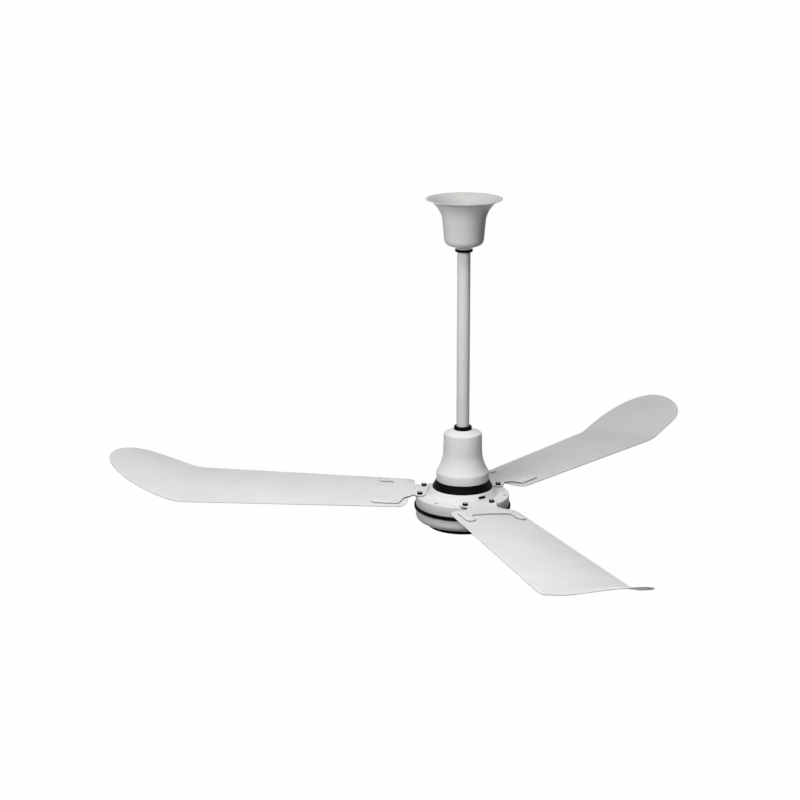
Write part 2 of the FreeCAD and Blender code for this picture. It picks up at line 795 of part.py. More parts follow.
def rotor_ring():
    edge = band_radius - at.band_round
    ring = turned("rotor_blank", [
        (rotor_inner_radius, rotor_foot), (rotor_outer_radius, rotor_foot), (rotor_outer_radius, band_foot),
        (edge, band_foot, at.band_round, "left"), (band_radius, band_foot + at.band_round),
        (band_radius, cover_foot - at.band_round, at.band_round, "left"), (edge, cover_foot),
        (rotor_outer_radius, cover_foot), (rotor_outer_radius, rotor_top), (rotor_inner_radius, rotor_top)])

    def hole(name):
        return group(name, [cylinder(name + "_drill", at.housing_screw_radius + at.fit_gap, at.rotor_height,
                                     (housing_screw_circle, ZERO, rotor_foot))])

    node(lower(cut("rotor_ring_cut", ring, around(hole, "rotor_hole", between_blades))), "rotor_ring")
    inner = rotor_inner_radius + at.end_ring_inset

    def end_ring(name, foot):
        top = foot + at.end_ring_height
        return turned(name, [(inner, foot), (end_ring_radius, foot), (end_ring_radius, top), (inner, top)])

    rings = [end_ring("rotor_end_top", rotor_top), end_ring("rotor_end_low", rotor_foot - at.end_ring_height)]
    node(lower(group("rotor_end_group", rings)), "rotor_end_rings")


def lower_cover():
    wall = at.cover_wall
    inside = cover_radius - wall
    cup = lower_bearing_foot - at.seat_lip
    seat = bearing_radius - at.seat_lip - wall
    lip_inner = lip_radius - at.lip_width
    lip_foot = lower_foot - at.lip_height
    shell = turned("lower_shell", [
        (cover_radius, band_foot), (inside, band_foot),
        (inside, lower_foot + at.lower_round, at.lower_round - wall, "right"),
        (cover_radius - at.lower_round, lower_floor), (lower_hub_radius, lower_floor),
        (lower_hub_radius, lower_bearing_top), (bearing_radius, lower_bearing_top),
        (bearing_radius, lower_bearing_foot), (seat, lower_bearing_foot), (seat, cup),
        (lower_hub_radius, cup), (lower_hub_radius, lower_foot), (lip_inner, lower_foot),
        (lip_inner, lip_foot), (lip_radius, lip_foot), (lip_radius, lower_foot),
        (cover_radius - at.lower_round, lower_foot, at.lower_round, "left"),
        (cover_radius, lower_foot + at.lower_round)])
    boss_foot = lower_floor + wall / 2

    def boss(name):
        return group(name, [cylinder(name + "_boss", at.boss_radius, rotor_foot - boss_foot,
                                     (housing_screw_circle, ZERO, boss_foot))])

    def hole(name):
        drill_foot = housing_screw_foot - at.fit_gap
        drill = at.housing_screw_radius + at.fit_gap
        return group(name, [cylinder(name + "_drill", drill, rotor_foot - drill_foot,
                                     (housing_screw_circle, ZERO, drill_foot))])

    solid = fuse("lower_solid", [shell] + around(boss, "lower_boss", between_blades))
    node(lower(cut("lower_cover_cut", solid, around(hole, "lower_hole", between_blades))), "lower_cover")


def bottom_cap():
    inner = lip_radius + at.fit_gap * 2
    edge = inner + at.cap_wall
    foot = lower_foot - at.cap_height
    floor = foot + at.cap_floor
    node(lower(turned("bottom_cap", [
        (edge, lower_foot), (inner, lower_foot), (inner, floor), (ZERO, floor), (ZERO, foot),
        (edge - at.cap_round, foot, at.cap_round, "left"), (edge, foot + at.cap_round)])), "bottom_cap")


def housing_screws():
    foot = housing_screw_foot

    def screw(name):
        body = turned(name + "_body", [
            (ZERO, foot), (at.housing_screw_radius, foot),
            (at.housing_screw_radius, -at.housing_head_height),
            (at.housing_head_radius, -at.housing_head_height), (at.housing_head_radius, ZERO),
            (ZERO, ZERO)])
        return group(name, [move(body, x=housing_screw_circle)])

    screws = around(screw, "housing_screw", between_blades)
    node(lower(group("housing_screw_group", screws)), "housing_screws")


# Shaft, bearings and stator

def motor_shaft():
    ring_top = lower_bearing_foot - at.fit_gap
    ring_foot = ring_top - at.ring_thickness - at.fit_gap
    groove = at.shaft_radius - at.ring_groove
    bar = turned("shaft_bar", [
        (at.shaft_bore, shaft_foot), (at.shaft_radius, shaft_foot), (at.shaft_radius, ring_foot),
        (groove, ring_foot), (groove, ring_top), (at.shaft_radius, ring_top),
        (at.shaft_radius, lower_bearing_top),
        (shaft_shoulder_radius, lower_bearing_top), (shaft_shoulder_radius, stator_foot),
        (stator_seat_radius, stator_foot), (stator_seat_radius, stator_top),
        (shaft_shoulder_radius, stator_top), (shaft_shoulder_radius, upper_bearing_foot),
        (at.shaft_radius, upper_bearing_foot),
        (at.shaft_radius, shaft_top), (at.shaft_bore, shaft_top)])
    span = at.shaft_radius + at.overrun
    hole = cylinder("shaft_hole", bolt_hole, span * 2, (ZERO, -span, coupling_height), "Y")
    node(lower(cut("motor_shaft_cut", bar, [hole])), "motor_shaft")
    near = groove + at.fit_gap
    far = at.shaft_radius + at.ring_width
    ring = turned("retaining_ring", [
        (near, ring_foot + at.fit_gap), (far, ring_foot + at.fit_gap), (far, ring_top), (near, ring_top)])
    node(lower(ring), "retaining_ring")


def shaft_pieces():
    bore = at.shaft_radius + at.slide_gap
    node(lower(turned("bearing_spacer", [
        (bore, upper_bearing_top), (at.shaft_radius + at.spacer_wall, upper_bearing_top),
        (at.shaft_radius + at.spacer_wall, spacer_top), (bore, spacer_top)])), "bearing_spacer")
    nuts = []
    for name, foot in (("low", spacer_top), ("high", plate_top)):
        place = (ZERO, ZERO, foot)
        blank = hexagon(f"shaft_nut_{name}_blank", at.shaft_nut_flat, at.shaft_nut_height, place)
        blank.Placement = FreeCAD.Placement(FreeCAD.Vector(), FreeCAD.Rotation(30, 0, 0))
        hole = cylinder(f"shaft_nut_{name}_bore", bore, at.shaft_nut_height, place)
        nuts.append(cut(f"shaft_nut_{name}", blank, [hole]))
    node(lower(group("shaft_nut_group", nuts)), "shaft_nuts")


def bearing(name, foot):
    """Races, balls and cage of one ball bearing."""
    top = foot + at.bearing_width
    middle = foot + at.bearing_width / 2
    groove = at.ball_radius + at.ball_gap
    inner_edge = ball_circle - at.race_gap
    outer_edge = ball_circle + at.race_gap
    mouth = (groove * groove - at.race_gap * at.race_gap).root()
    node(lower(turned(f"{name}_inner_race", [
        (at.shaft_radius, foot), (inner_edge, foot), (inner_edge, middle - mouth, groove, "right"),
        (inner_edge, middle + mouth), (inner_edge, top), (at.shaft_radius, top)])), f"{name}_inner_race")
    node(lower(turned(f"{name}_outer_race", [
        (outer_edge, foot), (bearing_radius, foot), (bearing_radius, top), (outer_edge, top),
        (outer_edge, middle + mouth, groove, "right"),
        (outer_edge, middle - mouth)])), f"{name}_outer_race")
    near, far = ball_circle - at.cage_thickness / 2, ball_circle + at.cage_thickness / 2
    balls, pockets = [], []
    for i in range(BALLS):
        turn = as_size(360 / BALLS * (i + 1) - 180)
        ball = tie(doc.addObject("Part::Sphere", f"{name}_ball_{i}"), Radius=at.ball_radius)
        move(ball, x=ball_circle, z=middle)
        balls.append(move(group(f"{name}_ball_place_{i}", [ball]), turn=turn))
        pocket = cylinder(f"{name}_pocket_{i}", groove, far, (near / 2, ZERO, middle), "X")
        pockets.append(move(group(f"{name}_pocket_place_{i}", [pocket]), turn=turn))
    node(lower(group(f"{name}_ball_group", balls)), f"{name}_balls")
    low, high = middle - at.cage_width / 2, middle + at.cage_width / 2
    ring = turned(f"{name}_cage_ring", [(near, low), (far, low), (far, high), (near, high)])
    node(lower(cut(f"{name}_cage_cut", ring, pockets)), f"{name}_cage")


def stator():
    slot_length = slot_outer_radius - slot_inner_radius

    def bar(name, margin, foot, top):
        return box(name, (slot_inner_radius + margin, margin - at.slot_width / 2, foot),
                   (slot_inner_radius + slot_length - margin, at.slot_width / 2 - margin, top))

    def ring_of(name, margin, foot, top):
        return [move(group(f"{name}_{i}", [bar(f"{name}_bar_{i}", margin, foot, top)]),
                     turn=as_size(360 / SLOTS * (i + 1) - 180))
                for i in range(SLOTS)]

    blank = turned("stator_blank", [
        (stator_seat_radius, stator_foot), (stator_radius, stator_foot), (stator_radius, stator_top),
        (stator_seat_radius, stator_top)])
    slots = ring_of("stator_slot", ZERO, stator_foot, stator_top)
    node(lower(cut("stator_core_cut", blank, slots)), "stator_core")
    near, far = slot_inner_radius + at.fit_gap, slot_outer_radius - at.fit_gap

    def winding_end(name, foot):
        top = foot + at.winding_height
        return turned(name, [(near, foot), (far, foot), (far, top), (near, top)])

    ends = [winding_end("winding_top", stator_top),
            winding_end("winding_low", stator_foot - at.winding_height)]
    bars = ring_of("winding_run", at.fit_gap, stator_foot, stator_top)
    node(lower(fuse("stator_winding_fuse", ends + bars)), "stator_winding")


# Wiring pieces inside the bell

def foot_spots():
    """Places of the plate screws: strap feet, then terminal ears."""
    strap_x = wiring_near + at.capacitor_thickness / 2
    strap_y = at.capacitor_width / 2 + at.band_strap_thickness + at.band_strap_foot / 2
    ear_x = -(wiring_near + at.terminal_thickness / 2)
    ear_y = at.terminal_width / 2 + at.terminal_ear / 2
    return [(strap_x, strap_y, at.band_strap_thickness), (strap_x, -strap_y, at.band_strap_thickness),
            (ear_x, ear_y, at.terminal_ear_height), (ear_x, -ear_y, at.terminal_ear_height)]


def plate_holes(name, foot, top):
    return [cylinder(f"{name}_hole_{i}", at.plate_screw_radius + at.slide_gap, top - foot, (x, y, foot))
            for i, (x, y, _) in enumerate(foot_spots())]


def wiring_plate():
    bore = at.shaft_radius + at.slide_gap
    disc = turned("plate_disc", [
        (bore, plate_foot), (bell_waist_radius, plate_foot),
        (bell_waist_radius, plate_top), (bore, plate_top)])
    holes = plate_holes("plate", plate_foot, plate_top)
    node(lower(cut("wiring_plate_cut", disc, holes)), "wiring_plate")
    screws = []
    for i, (x, y, grip) in enumerate(foot_spots()):
        seat = plate_top + grip
        foot = plate_foot - at.plate_screw_tail
        top = seat + at.plate_screw_head_height
        body = turned(f"plate_screw_{i}", [
            (ZERO, foot), (at.plate_screw_radius, foot), (at.plate_screw_radius, seat),
            (at.plate_screw_head_radius, seat), (at.plate_screw_head_radius, top), (ZERO, top)])
        screws.append(move(body, x=x, y=y))
    node(lower(group("plate_screw_group", screws)), "plate_screws")


def capacitor():
    side = capacitor_side
    top = plate_top + at.capacitor_height
    case = box("capacitor_case", (wiring_near, -side, plate_top), (capacitor_far, side, top))
    node(lower(group("capacitor_group", [case])), "capacitor")
    gauge = at.band_strap_thickness
    foot = side + gauge + at.band_strap_foot
    roof = top + at.fit_gap
    wall = side + at.fit_gap
    strap = padded("strap_band", "YZ_Plane", [
        (-foot, plate_top), (-wall, plate_top), (-wall, roof), (wall, roof), (wall, plate_top),
        (foot, plate_top),
        (foot, plate_top + gauge), (wall + gauge, plate_top + gauge), (wall + gauge, roof + gauge),
        (-(wall + gauge), roof + gauge), (-(wall + gauge), plate_top + gauge), (-foot, plate_top + gauge)],
        at.band_strap_width, symmetric=True)
    move(strap, x=wiring_near + at.capacitor_thickness / 2)
    holes = plate_holes("strap", plate_top, plate_top + gauge)
    node(lower(cut("capacitor_strap_cut", strap, holes)), "capacitor_strap")


def terminal_block():
    near, far = -wiring_near, -(wiring_near + at.terminal_thickness)
    side = at.terminal_width / 2
    ear = side + at.terminal_ear
    top = plate_top + at.terminal_height
    block = box("terminal_body", (far, -side, plate_top), (near, side, top))
    ears = box("terminal_ears", (far, -ear, plate_top), (near, ear, plate_top + at.terminal_ear_height))
    depth = at.terminal_screw_height
    middle = (near + far) / 2
    pitch = at.terminal_width / TERMINALS
    spots = [pitch * (i - (TERMINALS - 1) / 2) for i in range(TERMINALS)]
    bore = at.terminal_screw_radius + at.fit_gap
    wells = [cylinder(f"terminal_well_{i}", bore, depth + at.overrun, (middle, y, top - depth))
             for i, y in enumerate(spots)]
    holes = plate_holes("terminal", plate_top, plate_top + at.terminal_ear_height)
    solid = fuse("terminal_solid", [block, ears])
    node(lower(cut("terminal_block_cut", solid, wells + holes)), "terminal_block")
    screws = [cylinder(f"terminal_screw_{i}", at.terminal_screw_radius, depth, (middle, y, top - depth))
              for i, y in enumerate(spots)]
    node(lower(group("terminal_screw_group", screws)), "terminal_screws")


# Blades and brackets

def strip(top, half):
    """Section of a cambered sheet under the radius top, as an arc strip about the camber's centre."""
    def corner(radius, y):
        return (radius * radius - y * y).root() - at.camber_radius

    upper, under = top
    return [(-half, corner(under, half)), (-half, corner(upper, half), upper, "right"),
            (half, corner(upper, half)), (half, corner(under, half), under, "left")]


def oval(centre_x, centre_y, long, wide, outward):
    """A quarter of an oval as two arcs: the joint between them and both radii."""
    diagonal = (long * long + wide * wide).root()
    step = long - wide
    end_round = diagonal * (diagonal - step) / (long * 2)
    side_round = diagonal * (diagonal + step) / (wide * 2)
    reach = side_round / (side_round - end_round)
    fall = side_round - wide
    joint_x = (long - end_round) * reach
    joint_y = fall * reach - fall
    return (centre_x + joint_x, centre_y + joint_y * outward), end_round, side_round


def blade_outline():
    lead_reach = at.sweep_radius - lead_end_radial
    lead_joint, lead_nose, lead_side = oval(
        lead_end_radial, -at.apex_chord, lead_reach, lead_end - at.apex_chord, -1)
    trail_reach = at.sweep_radius - trail_end_radial
    trail_joint, trail_nose, trail_side = oval(
        trail_end_radial, -at.apex_chord, trail_reach, trail_end + at.apex_chord, 1)
    corner = root_radial + at.root_round
    return [(root_radial, at.root_round - at.lead_root, at.root_round, "left"), (corner, -at.lead_root),
            (lead_end_radial, -lead_end, lead_side, "left"), lead_joint + (lead_nose, "left"),
            (at.sweep_radius, -at.apex_chord, trail_nose, "left"), trail_joint + (trail_side, "left"),
            (trail_end_radial, trail_end), (corner, at.trail_root, at.root_round, "left"),
            (root_radial, at.trail_root - at.root_round)]


def camber_place(radial, chord):
    """Placement on the blade's top face, upright to it, before the blade is pitched."""
    lean = math.asin(chord / at.camber_radius.value)
    drop = at.camber_radius.value * (math.cos(lean) - 1)
    tilt = FreeCAD.Rotation(FreeCAD.Vector(1, 0, 0), -math.degrees(lean))
    return FreeCAD.Placement(FreeCAD.Vector(radial, chord, drop), tilt)


def pitch_place():
    tilt = FreeCAD.Rotation(FreeCAD.Vector(1, 0, 0), -at.blade_pitch.value)
    return FreeCAD.Placement(FreeCAD.Vector(), tilt)


def rivet_spots():
    return [camber_place(radial.value, side * arm_middle.value)
            for radial in (rivet_near_radial, rivet_far_radial) for side in (-1, 1)]


def rivet_holes(name, frame):
    reach = at.bracket_thickness + at.blade_thickness + at.overrun
    bore = at.rivet_radius + at.slide_gap
    holes = []
    for i, spot in enumerate(rivet_spots()):
        hole = doc.addObject("Part::Cylinder", f"{name}_rivet_hole_{i}")
        tie(hole, Radius=bore, Height=reach * 2)
        down = FreeCAD.Placement(FreeCAD.Vector(0, 0, -reach.value), FreeCAD.Rotation())
        hole.Placement = frame.multiply(spot).multiply(down)
        holes.append(hole)
    return holes


def blade(name, heading, bend):
    stock = doc.addObject("PartDesign::Body", f"blade_{name}_stock")
    section = draw(new_sketch(stock, f"blade_{name}_section", "YZ_Plane"),
                   strip((at.camber_radius, at.camber_radius - at.blade_thickness), blade_stock))
    start = root_radial - at.overrun
    tie(section, **{"AttachmentOffset.Base.z": start})
    bend_run = at.bend_round * bend.sine()
    bend_rise = at.bend_round * (as_size(1) - bend.cosine())
    tip_run = at.sweep_radius + at.overrun - bend_radial - bend_run
    tip_rise = tip_run * bend.sine() / bend.cosine()
    spine = draw(new_sketch(stock, f"blade_{name}_spine", "XZ_Plane"), [
        (start, ZERO), (bend_radial, ZERO, at.bend_round, "left"), (bend_radial + bend_run, bend_rise),
        (bend_radial + bend_run + tip_run, bend_rise + tip_rise)], closed=False)
    pipe = stock.newObject("PartDesign::AdditivePipe", f"blade_{name}_sheet")
    pipe.Profile = section
    pipe.Spine = spine
    depth = (blade_stock + at.sweep_radius - bend_radial) * 2
    form = padded(f"blade_{name}_form", "XY_Plane", blade_outline(), depth, symmetric=True)
    shape = common(f"blade_{name}_common", stock, form)
    finished = cut(f"blade_{name}_cut", shape, rivet_holes(f"blade_{name}", FreeCAD.Placement()))
    finished.Placement = FreeCAD.Placement(FreeCAD.Vector(), FreeCAD.Rotation(0, 0, -at.blade_pitch.value))
    tie(finished, **{"Placement.Rotation.Roll": -at.blade_pitch})
    node(lower(finished, turn=heading), f"blade_{name}")


def bracket_outline():
    inner = bracket_bolt_radial - at.bracket_lobe
    lobe = at.bracket_bolt_chord + at.bracket_lobe
    arm_inner = arm_chord - at.arm_width
    half_arm = at.arm_width / 2
    arm_tip = arm_end_radial + half_arm
    crotch_end = crotch_radial + at.crotch_round
    crotch_side = arm_inner - at.crotch_round
    near = [(neck_radial, at.neck_chord), (throat_radial, throat_chord),
            (fork_corner_radial, fork_corner_chord), (arm_start_radial, arm_chord)]
    neck, throat, corner, arm = near

    def mirrored(point):
        return (point[0], -point[1])

    return [
        (inner, -at.bracket_bolt_chord, at.bracket_lobe, "left"), (bracket_bolt_radial, -lobe),
        mirrored(neck) + (at.neck_round, "right"), mirrored(throat),
        mirrored(corner) + (at.fork_corner_round, "left"), mirrored(arm),
        (arm_end_radial, -arm_chord, half_arm, "left"), (arm_tip, -arm_middle, half_arm, "left"),
        (arm_end_radial, -arm_inner), (crotch_end, -arm_inner, at.crotch_round, "right"),
        (crotch_radial, -crotch_side), (crotch_radial, crotch_side, at.crotch_round, "right"),
        (crotch_end, arm_inner), (arm_end_radial, arm_inner, half_arm, "left"),
        (arm_tip, arm_middle, half_arm, "left"), (arm_end_radial, arm_chord),
        arm + (at.fork_corner_round, "left"), corner, throat + (at.neck_round, "right"), neck,
        (bracket_bolt_radial, lobe, at.bracket_lobe, "left"), (inner, at.bracket_bolt_chord)]


def bracket_stock(name):
    """Flat over the motor, twisted to the blade's pitch in the neck, then curved to lie on the blade."""
    gauge, half = at.bracket_thickness, bracket_stock_half
    stock = doc.addObject("PartDesign::Body", f"{name}_stock")
    flat = [(-half, ZERO), (half, ZERO), (half, gauge), (-half, gauge)]
    start = bracket_bolt_radial - at.bracket_lobe - at.overrun
    inner = draw(new_sketch(stock, f"{name}_inner", "YZ_Plane"), flat)
    tie(inner, **{"AttachmentOffset.Base.z": start})
    inner_pad = stock.newObject("PartDesign::Pad", f"{name}_inner_pad")
    inner_pad.Profile = inner
    tie(inner_pad, Length=twist_start - start)
    neck = draw(new_sketch(stock, f"{name}_neck", "YZ_Plane"), flat)
    tie(neck, **{"AttachmentOffset.Base.z": twist_start})
    curved = strip((at.camber_radius + gauge, at.camber_radius), half)
    outer = draw(new_sketch(stock, f"{name}_outer", "YZ_Plane"), curved)
    lean = FreeCAD.Rotation(-at.blade_pitch.value, 0, 0)
    outer.AttachmentOffset = FreeCAD.Placement(FreeCAD.Vector(), lean)
    tie(outer, **{"AttachmentOffset.Base.z": twist_end, "AttachmentOffset.Rotation.Yaw": -at.blade_pitch})
    twist = stock.newObject("PartDesign::AdditiveLoft", f"{name}_twist")
    twist.Profile = neck
    twist.Sections = [outer]
    outer_pad = stock.newObject("PartDesign::Pad", f"{name}_outer_pad")
    outer_pad.Profile = outer
    tie(outer_pad, Length=arm_end_radial + at.arm_width - twist_end)
    return stock


def beads(name):
    """Raised beads between the rivets of each arm."""
    half = at.bead_width / 2
    end = at.bead_length - at.bead_width
    outline = [(ZERO, -half), (end, -half, half, "left"), (end + half, ZERO, half, "left"), (end, half),
               (ZERO, half, half, "left"), (-half, ZERO, half, "left")]
    shapes = []
    for i, side in enumerate((-1, 1)):
        bead = padded(f"{name}_bead_{i}", "XY_Plane", outline, at.bracket_thickness / 2 + at.bead_height)
        spot = camber_place(bead_start_radial.value + half.value, side * arm_middle.value)
        lift = FreeCAD.Placement(FreeCAD.Vector(0, 0, at.bracket_thickness.value / 2), FreeCAD.Rotation())
        bead.Placement = pitch_place().multiply(spot).multiply(lift)
        shapes.append(bead)
    return shapes


def blade_bracket(name, heading):
    label = f"blade_bracket_{name}"
    depth = bracket_stock_half * 2
    form = padded(label + "_form", "XY_Plane", bracket_outline(), depth, symmetric=True)
    plate = common(label + "_plate", bracket_stock(label), form)
    solid = fuse(label + "_solid", [plate] + beads(label))
    bore = at.screw_radius + at.fit_gap
    length = at.bracket_thickness + at.overrun
    holes = [cylinder(f"{label}_hole_{i}", bore, length, (x, y, -at.overrun / 2))
             for i, (x, y) in enumerate(screw_spots())]
    node(lower(cut(label + "_cut", solid, holes + rivet_holes(label, pitch_place())), turn=heading), label)


def bracket_fasteners():
    seat = at.bracket_thickness
    rim = seat + at.washer_height
    head = seat + at.washer_floor
    top = head + at.screw_head_height
    bore = at.screw_radius + at.fit_gap
    well = at.washer_radius - at.washer_lip

    def screws(name):
        bodies = [turned(f"{name}_{i}", [
            (ZERO, -at.screw_reach), (at.screw_radius, -at.screw_reach), (at.screw_radius, head),
            (at.screw_head_radius, head), (at.screw_head_radius, top), (ZERO, top)]) for i in range(2)]
        return group(name, [move(body, x=x, y=y) for body, (x, y) in zip(bodies, screw_spots())])

    def washers(name):
        bodies = [turned(f"{name}_{i}", [
            (bore, seat), (at.washer_radius, seat), (at.washer_radius, rim),
            (well, rim), (well, head), (bore, head)]) for i in range(2)]
        return group(name, [move(body, x=x, y=y) for body, (x, y) in zip(bodies, screw_spots())])

    node(lower(group("bracket_screw_group", around(screws, "bracket_screw"))), "bracket_screws")
    node(lower(group("bracket_washer_group", around(washers, "bracket_washer"))), "bracket_washers")


def blade_rivets():
    foot, top = -(at.blade_thickness + at.slide_gap), at.bracket_thickness
    low, high = foot - at.rivet_head_height, top + at.rivet_head_height
    rivets = []
    for name, heading in fan_turns.items():
        turn = FreeCAD.Rotation(heading.value, 0, -at.blade_pitch.value)
        frame = FreeCAD.Placement(FreeCAD.Vector(), turn)
        for i, spot in enumerate(rivet_spots()):
            body = turned(f"rivet_{name}_{i}", [
                (ZERO, low), (at.rivet_head_radius, low), (at.rivet_head_radius, foot),
                (at.rivet_radius, foot), (at.rivet_radius, top),
                (at.rivet_head_radius, top), (at.rivet_head_radius, high), (ZERO, high)])
            body.Placement = frame.multiply(spot)
            rivets.append(body)
    node(lower(group("blade_rivet_group", rivets)), "blade_rivets")


def build():
    hanger_roller()
    hanger_shackle()
    cross_bolts()
    downrod()
    ceiling_canopy()
    canopy_collar()
    motor_bell()
    bell_grommet()
    dust_skirt()
    upper_cover()
    rotor_ring()
    lower_cover()
    bottom_cap()
    housing_screws()
    motor_shaft()
    shaft_pieces()
    bearing("upper_bearing", upper_bearing_foot)
    bearing("lower_bearing", lower_bearing_foot)
    stator()
    wiring_plate()
    capacitor()
    terminal_block()
    for name, heading in fan_turns.items():
        blade(name, heading, blade_bends[name])
        blade_bracket(name, heading)
    bracket_fasteners()
    blade_rivets()


def check_and_write():
    doc.recompute()
    for thing in doc.Objects:
        if "Invalid" in thing.State or "Error" in thing.State:
            raise RuntimeError(f"{thing.Name} failed: {thing.State}")
    for thing in nodes:
        if thing.Shape.isNull() or not thing.Shape.isValid() or not thing.Shape.Solids:
            raise RuntimeError(f"{thing.Label} has no valid solid")
    os.makedirs("parts", exist_ok=True)
    for thing in nodes:
        thing.Shape.exportStep(f"parts/{thing.Label}.step")
    print(len(nodes), "sub-parts written")


build()
check_and_write()
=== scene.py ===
import json
import math

import bmesh
import bpy
from mathutils import Matrix, Vector


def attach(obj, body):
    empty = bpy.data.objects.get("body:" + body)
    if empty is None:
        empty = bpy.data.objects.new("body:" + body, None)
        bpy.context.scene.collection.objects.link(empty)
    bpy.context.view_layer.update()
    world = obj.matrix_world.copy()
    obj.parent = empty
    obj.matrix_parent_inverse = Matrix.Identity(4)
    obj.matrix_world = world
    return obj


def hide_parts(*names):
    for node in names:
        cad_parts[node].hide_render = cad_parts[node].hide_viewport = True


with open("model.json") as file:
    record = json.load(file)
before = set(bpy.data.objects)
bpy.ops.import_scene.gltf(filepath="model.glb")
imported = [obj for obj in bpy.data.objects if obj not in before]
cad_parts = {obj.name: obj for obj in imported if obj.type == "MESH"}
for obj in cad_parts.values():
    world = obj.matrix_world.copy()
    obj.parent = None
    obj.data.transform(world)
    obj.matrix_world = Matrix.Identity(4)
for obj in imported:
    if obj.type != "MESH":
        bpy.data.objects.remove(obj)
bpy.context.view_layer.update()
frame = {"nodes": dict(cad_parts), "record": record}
scene = bpy.context.scene
scene.view_settings.view_transform = "Standard"

# Sizes are in millimetres until a mesh is finished; the stage, lamps and camera are in metres.
MM = 0.001
MOTOR_TOP = -549.0
RIM_RISE = 32.0
HEADINGS = {"back": 52.73, "left": 172.73, "front": -67.27}
PITCH = math.radians(5.15)


# Camera at the photograph's place

CAMERA_PLACE = (0.0, -3.6453, 0.6341)
CAMERA_YAW, CAMERA_PITCH, CAMERA_ROLL = (math.radians(angle) for angle in (1.912, -15.26, -0.14))
CAMERA_LENS = 88.04
CAMERA_SENSOR = 36.0
CAMERA_REACH = 100.0


def photo_camera():
    level_share = math.cos(CAMERA_PITCH)
    ahead = Vector((-math.sin(CAMERA_YAW) * level_share, math.cos(CAMERA_YAW) * level_share,
                    math.sin(CAMERA_PITCH)))
    level = Vector((math.cos(CAMERA_YAW), math.sin(CAMERA_YAW), 0))
    rise = level.cross(ahead)
    right = level * math.cos(CAMERA_ROLL) + rise * math.sin(CAMERA_ROLL)
    up = rise * math.cos(CAMERA_ROLL) - level * math.sin(CAMERA_ROLL)
    data = bpy.data.cameras.new("photo_camera")
    data.sensor_width = CAMERA_SENSOR
    data.lens = CAMERA_LENS
    data.clip_end = CAMERA_REACH
    camera = bpy.data.objects.new("photo_camera", data)
    turn = Matrix((right, up, -ahead)).transposed().to_4x4()
    camera.matrix_world = Matrix.Translation(CAMERA_PLACE) @ turn
    scene.collection.objects.link(camera)
    scene.camera = camera


photo_camera()


# Materials

def rgb(code):
    """An sRGB hex value as linear red, green, blue and alpha."""
    parts = [int(code[i:i + 2], 16) / 255 for i in (0, 2, 4)]
    linear = [c / 12.92 if c <= 0.04045 else ((c + 0.055) / 1.055) ** 2.4 for c in parts]
    return (*linear, 1.0)


def join(tree, node, **links):
    """Links sources to a node's sockets, whose names are written with _ for a space."""
    for name, source in links.items():
        tree.links.new(source, node.inputs[name.replace("_", " ")])


def add(tree, kind, settings=None, **links):
    """Adds a shader node: settings go on the node, its sockets or its colour stops, links on its sockets."""
    made = tree.nodes.new(kind)
    for name, value in (settings or {}).items():
        if name == "stops":
            for stop, (position, colour) in zip(made.color_ramp.elements, value):
                stop.position, stop.color = position, colour
        elif name in made.inputs and not hasattr(made, name):
            made.inputs[name].default_value = value
        else:
            setattr(made, name, value)
    join(tree, made, **links)
    return made


def finish_of(name):
    """A new material: itself, its tree and its shader."""
    material = bpy.data.materials.new(name)
    material.use_nodes = True
    tree = material.node_tree
    return material, tree, tree.nodes["Principled BSDF"]


def per_metre(size_mm):
    """Noise scale whose blotches measure about this many millimetres."""
    return 1.0 / (size_mm * MM)


def stops(low, high, low_at=0.35, high_at=0.65):
    """Two hex colours over a band of a grey value."""
    return ((low_at, rgb(low)), (high_at, rgb(high)))


def about(middle, less, more):
    """A grey value's range round a middle."""
    return {"To Min": middle - less, "To Max": middle + more}


def powder_coat(name, pale, dull, rough):
    """White polyester powder coat: satin, with a fine orange peel and slow, faint shifts of tone."""
    material, tree, shader = finish_of(name)
    place = add(tree, "ShaderNodeTexCoord").outputs["Object"]
    tone = add(tree, "ShaderNodeTexNoise", {"Scale": per_metre(60), "Detail": 3.0}, Vector=place)
    colour = add(tree, "ShaderNodeValToRGB", {"stops": stops(dull, pale)}, Fac=tone.outputs["Fac"])
    wear = add(tree, "ShaderNodeTexNoise", {"Scale": per_metre(14), "Detail": 4.0}, Vector=place)
    gloss = add(tree, "ShaderNodeMapRange", about(rough, 0.06, 0.08), Value=wear.outputs["Fac"])
    # The peel is about 1 mm across, drawn at 2.5 mm so that it shows.
    peel = add(tree, "ShaderNodeTexNoise", {"Scale": per_metre(2.5), "Detail": 2.0}, Vector=place)
    bump = add(tree, "ShaderNodeBump", {"Strength": 0.06, "Distance": 0.0004}, Height=peel.outputs["Fac"])
    shader.inputs["Specular IOR Level"].default_value = 0.07
    join(tree, shader, Base_Color=colour.outputs["Color"], Roughness=gloss.outputs["Result"],
         Normal=bump.outputs["Normal"])
    return material


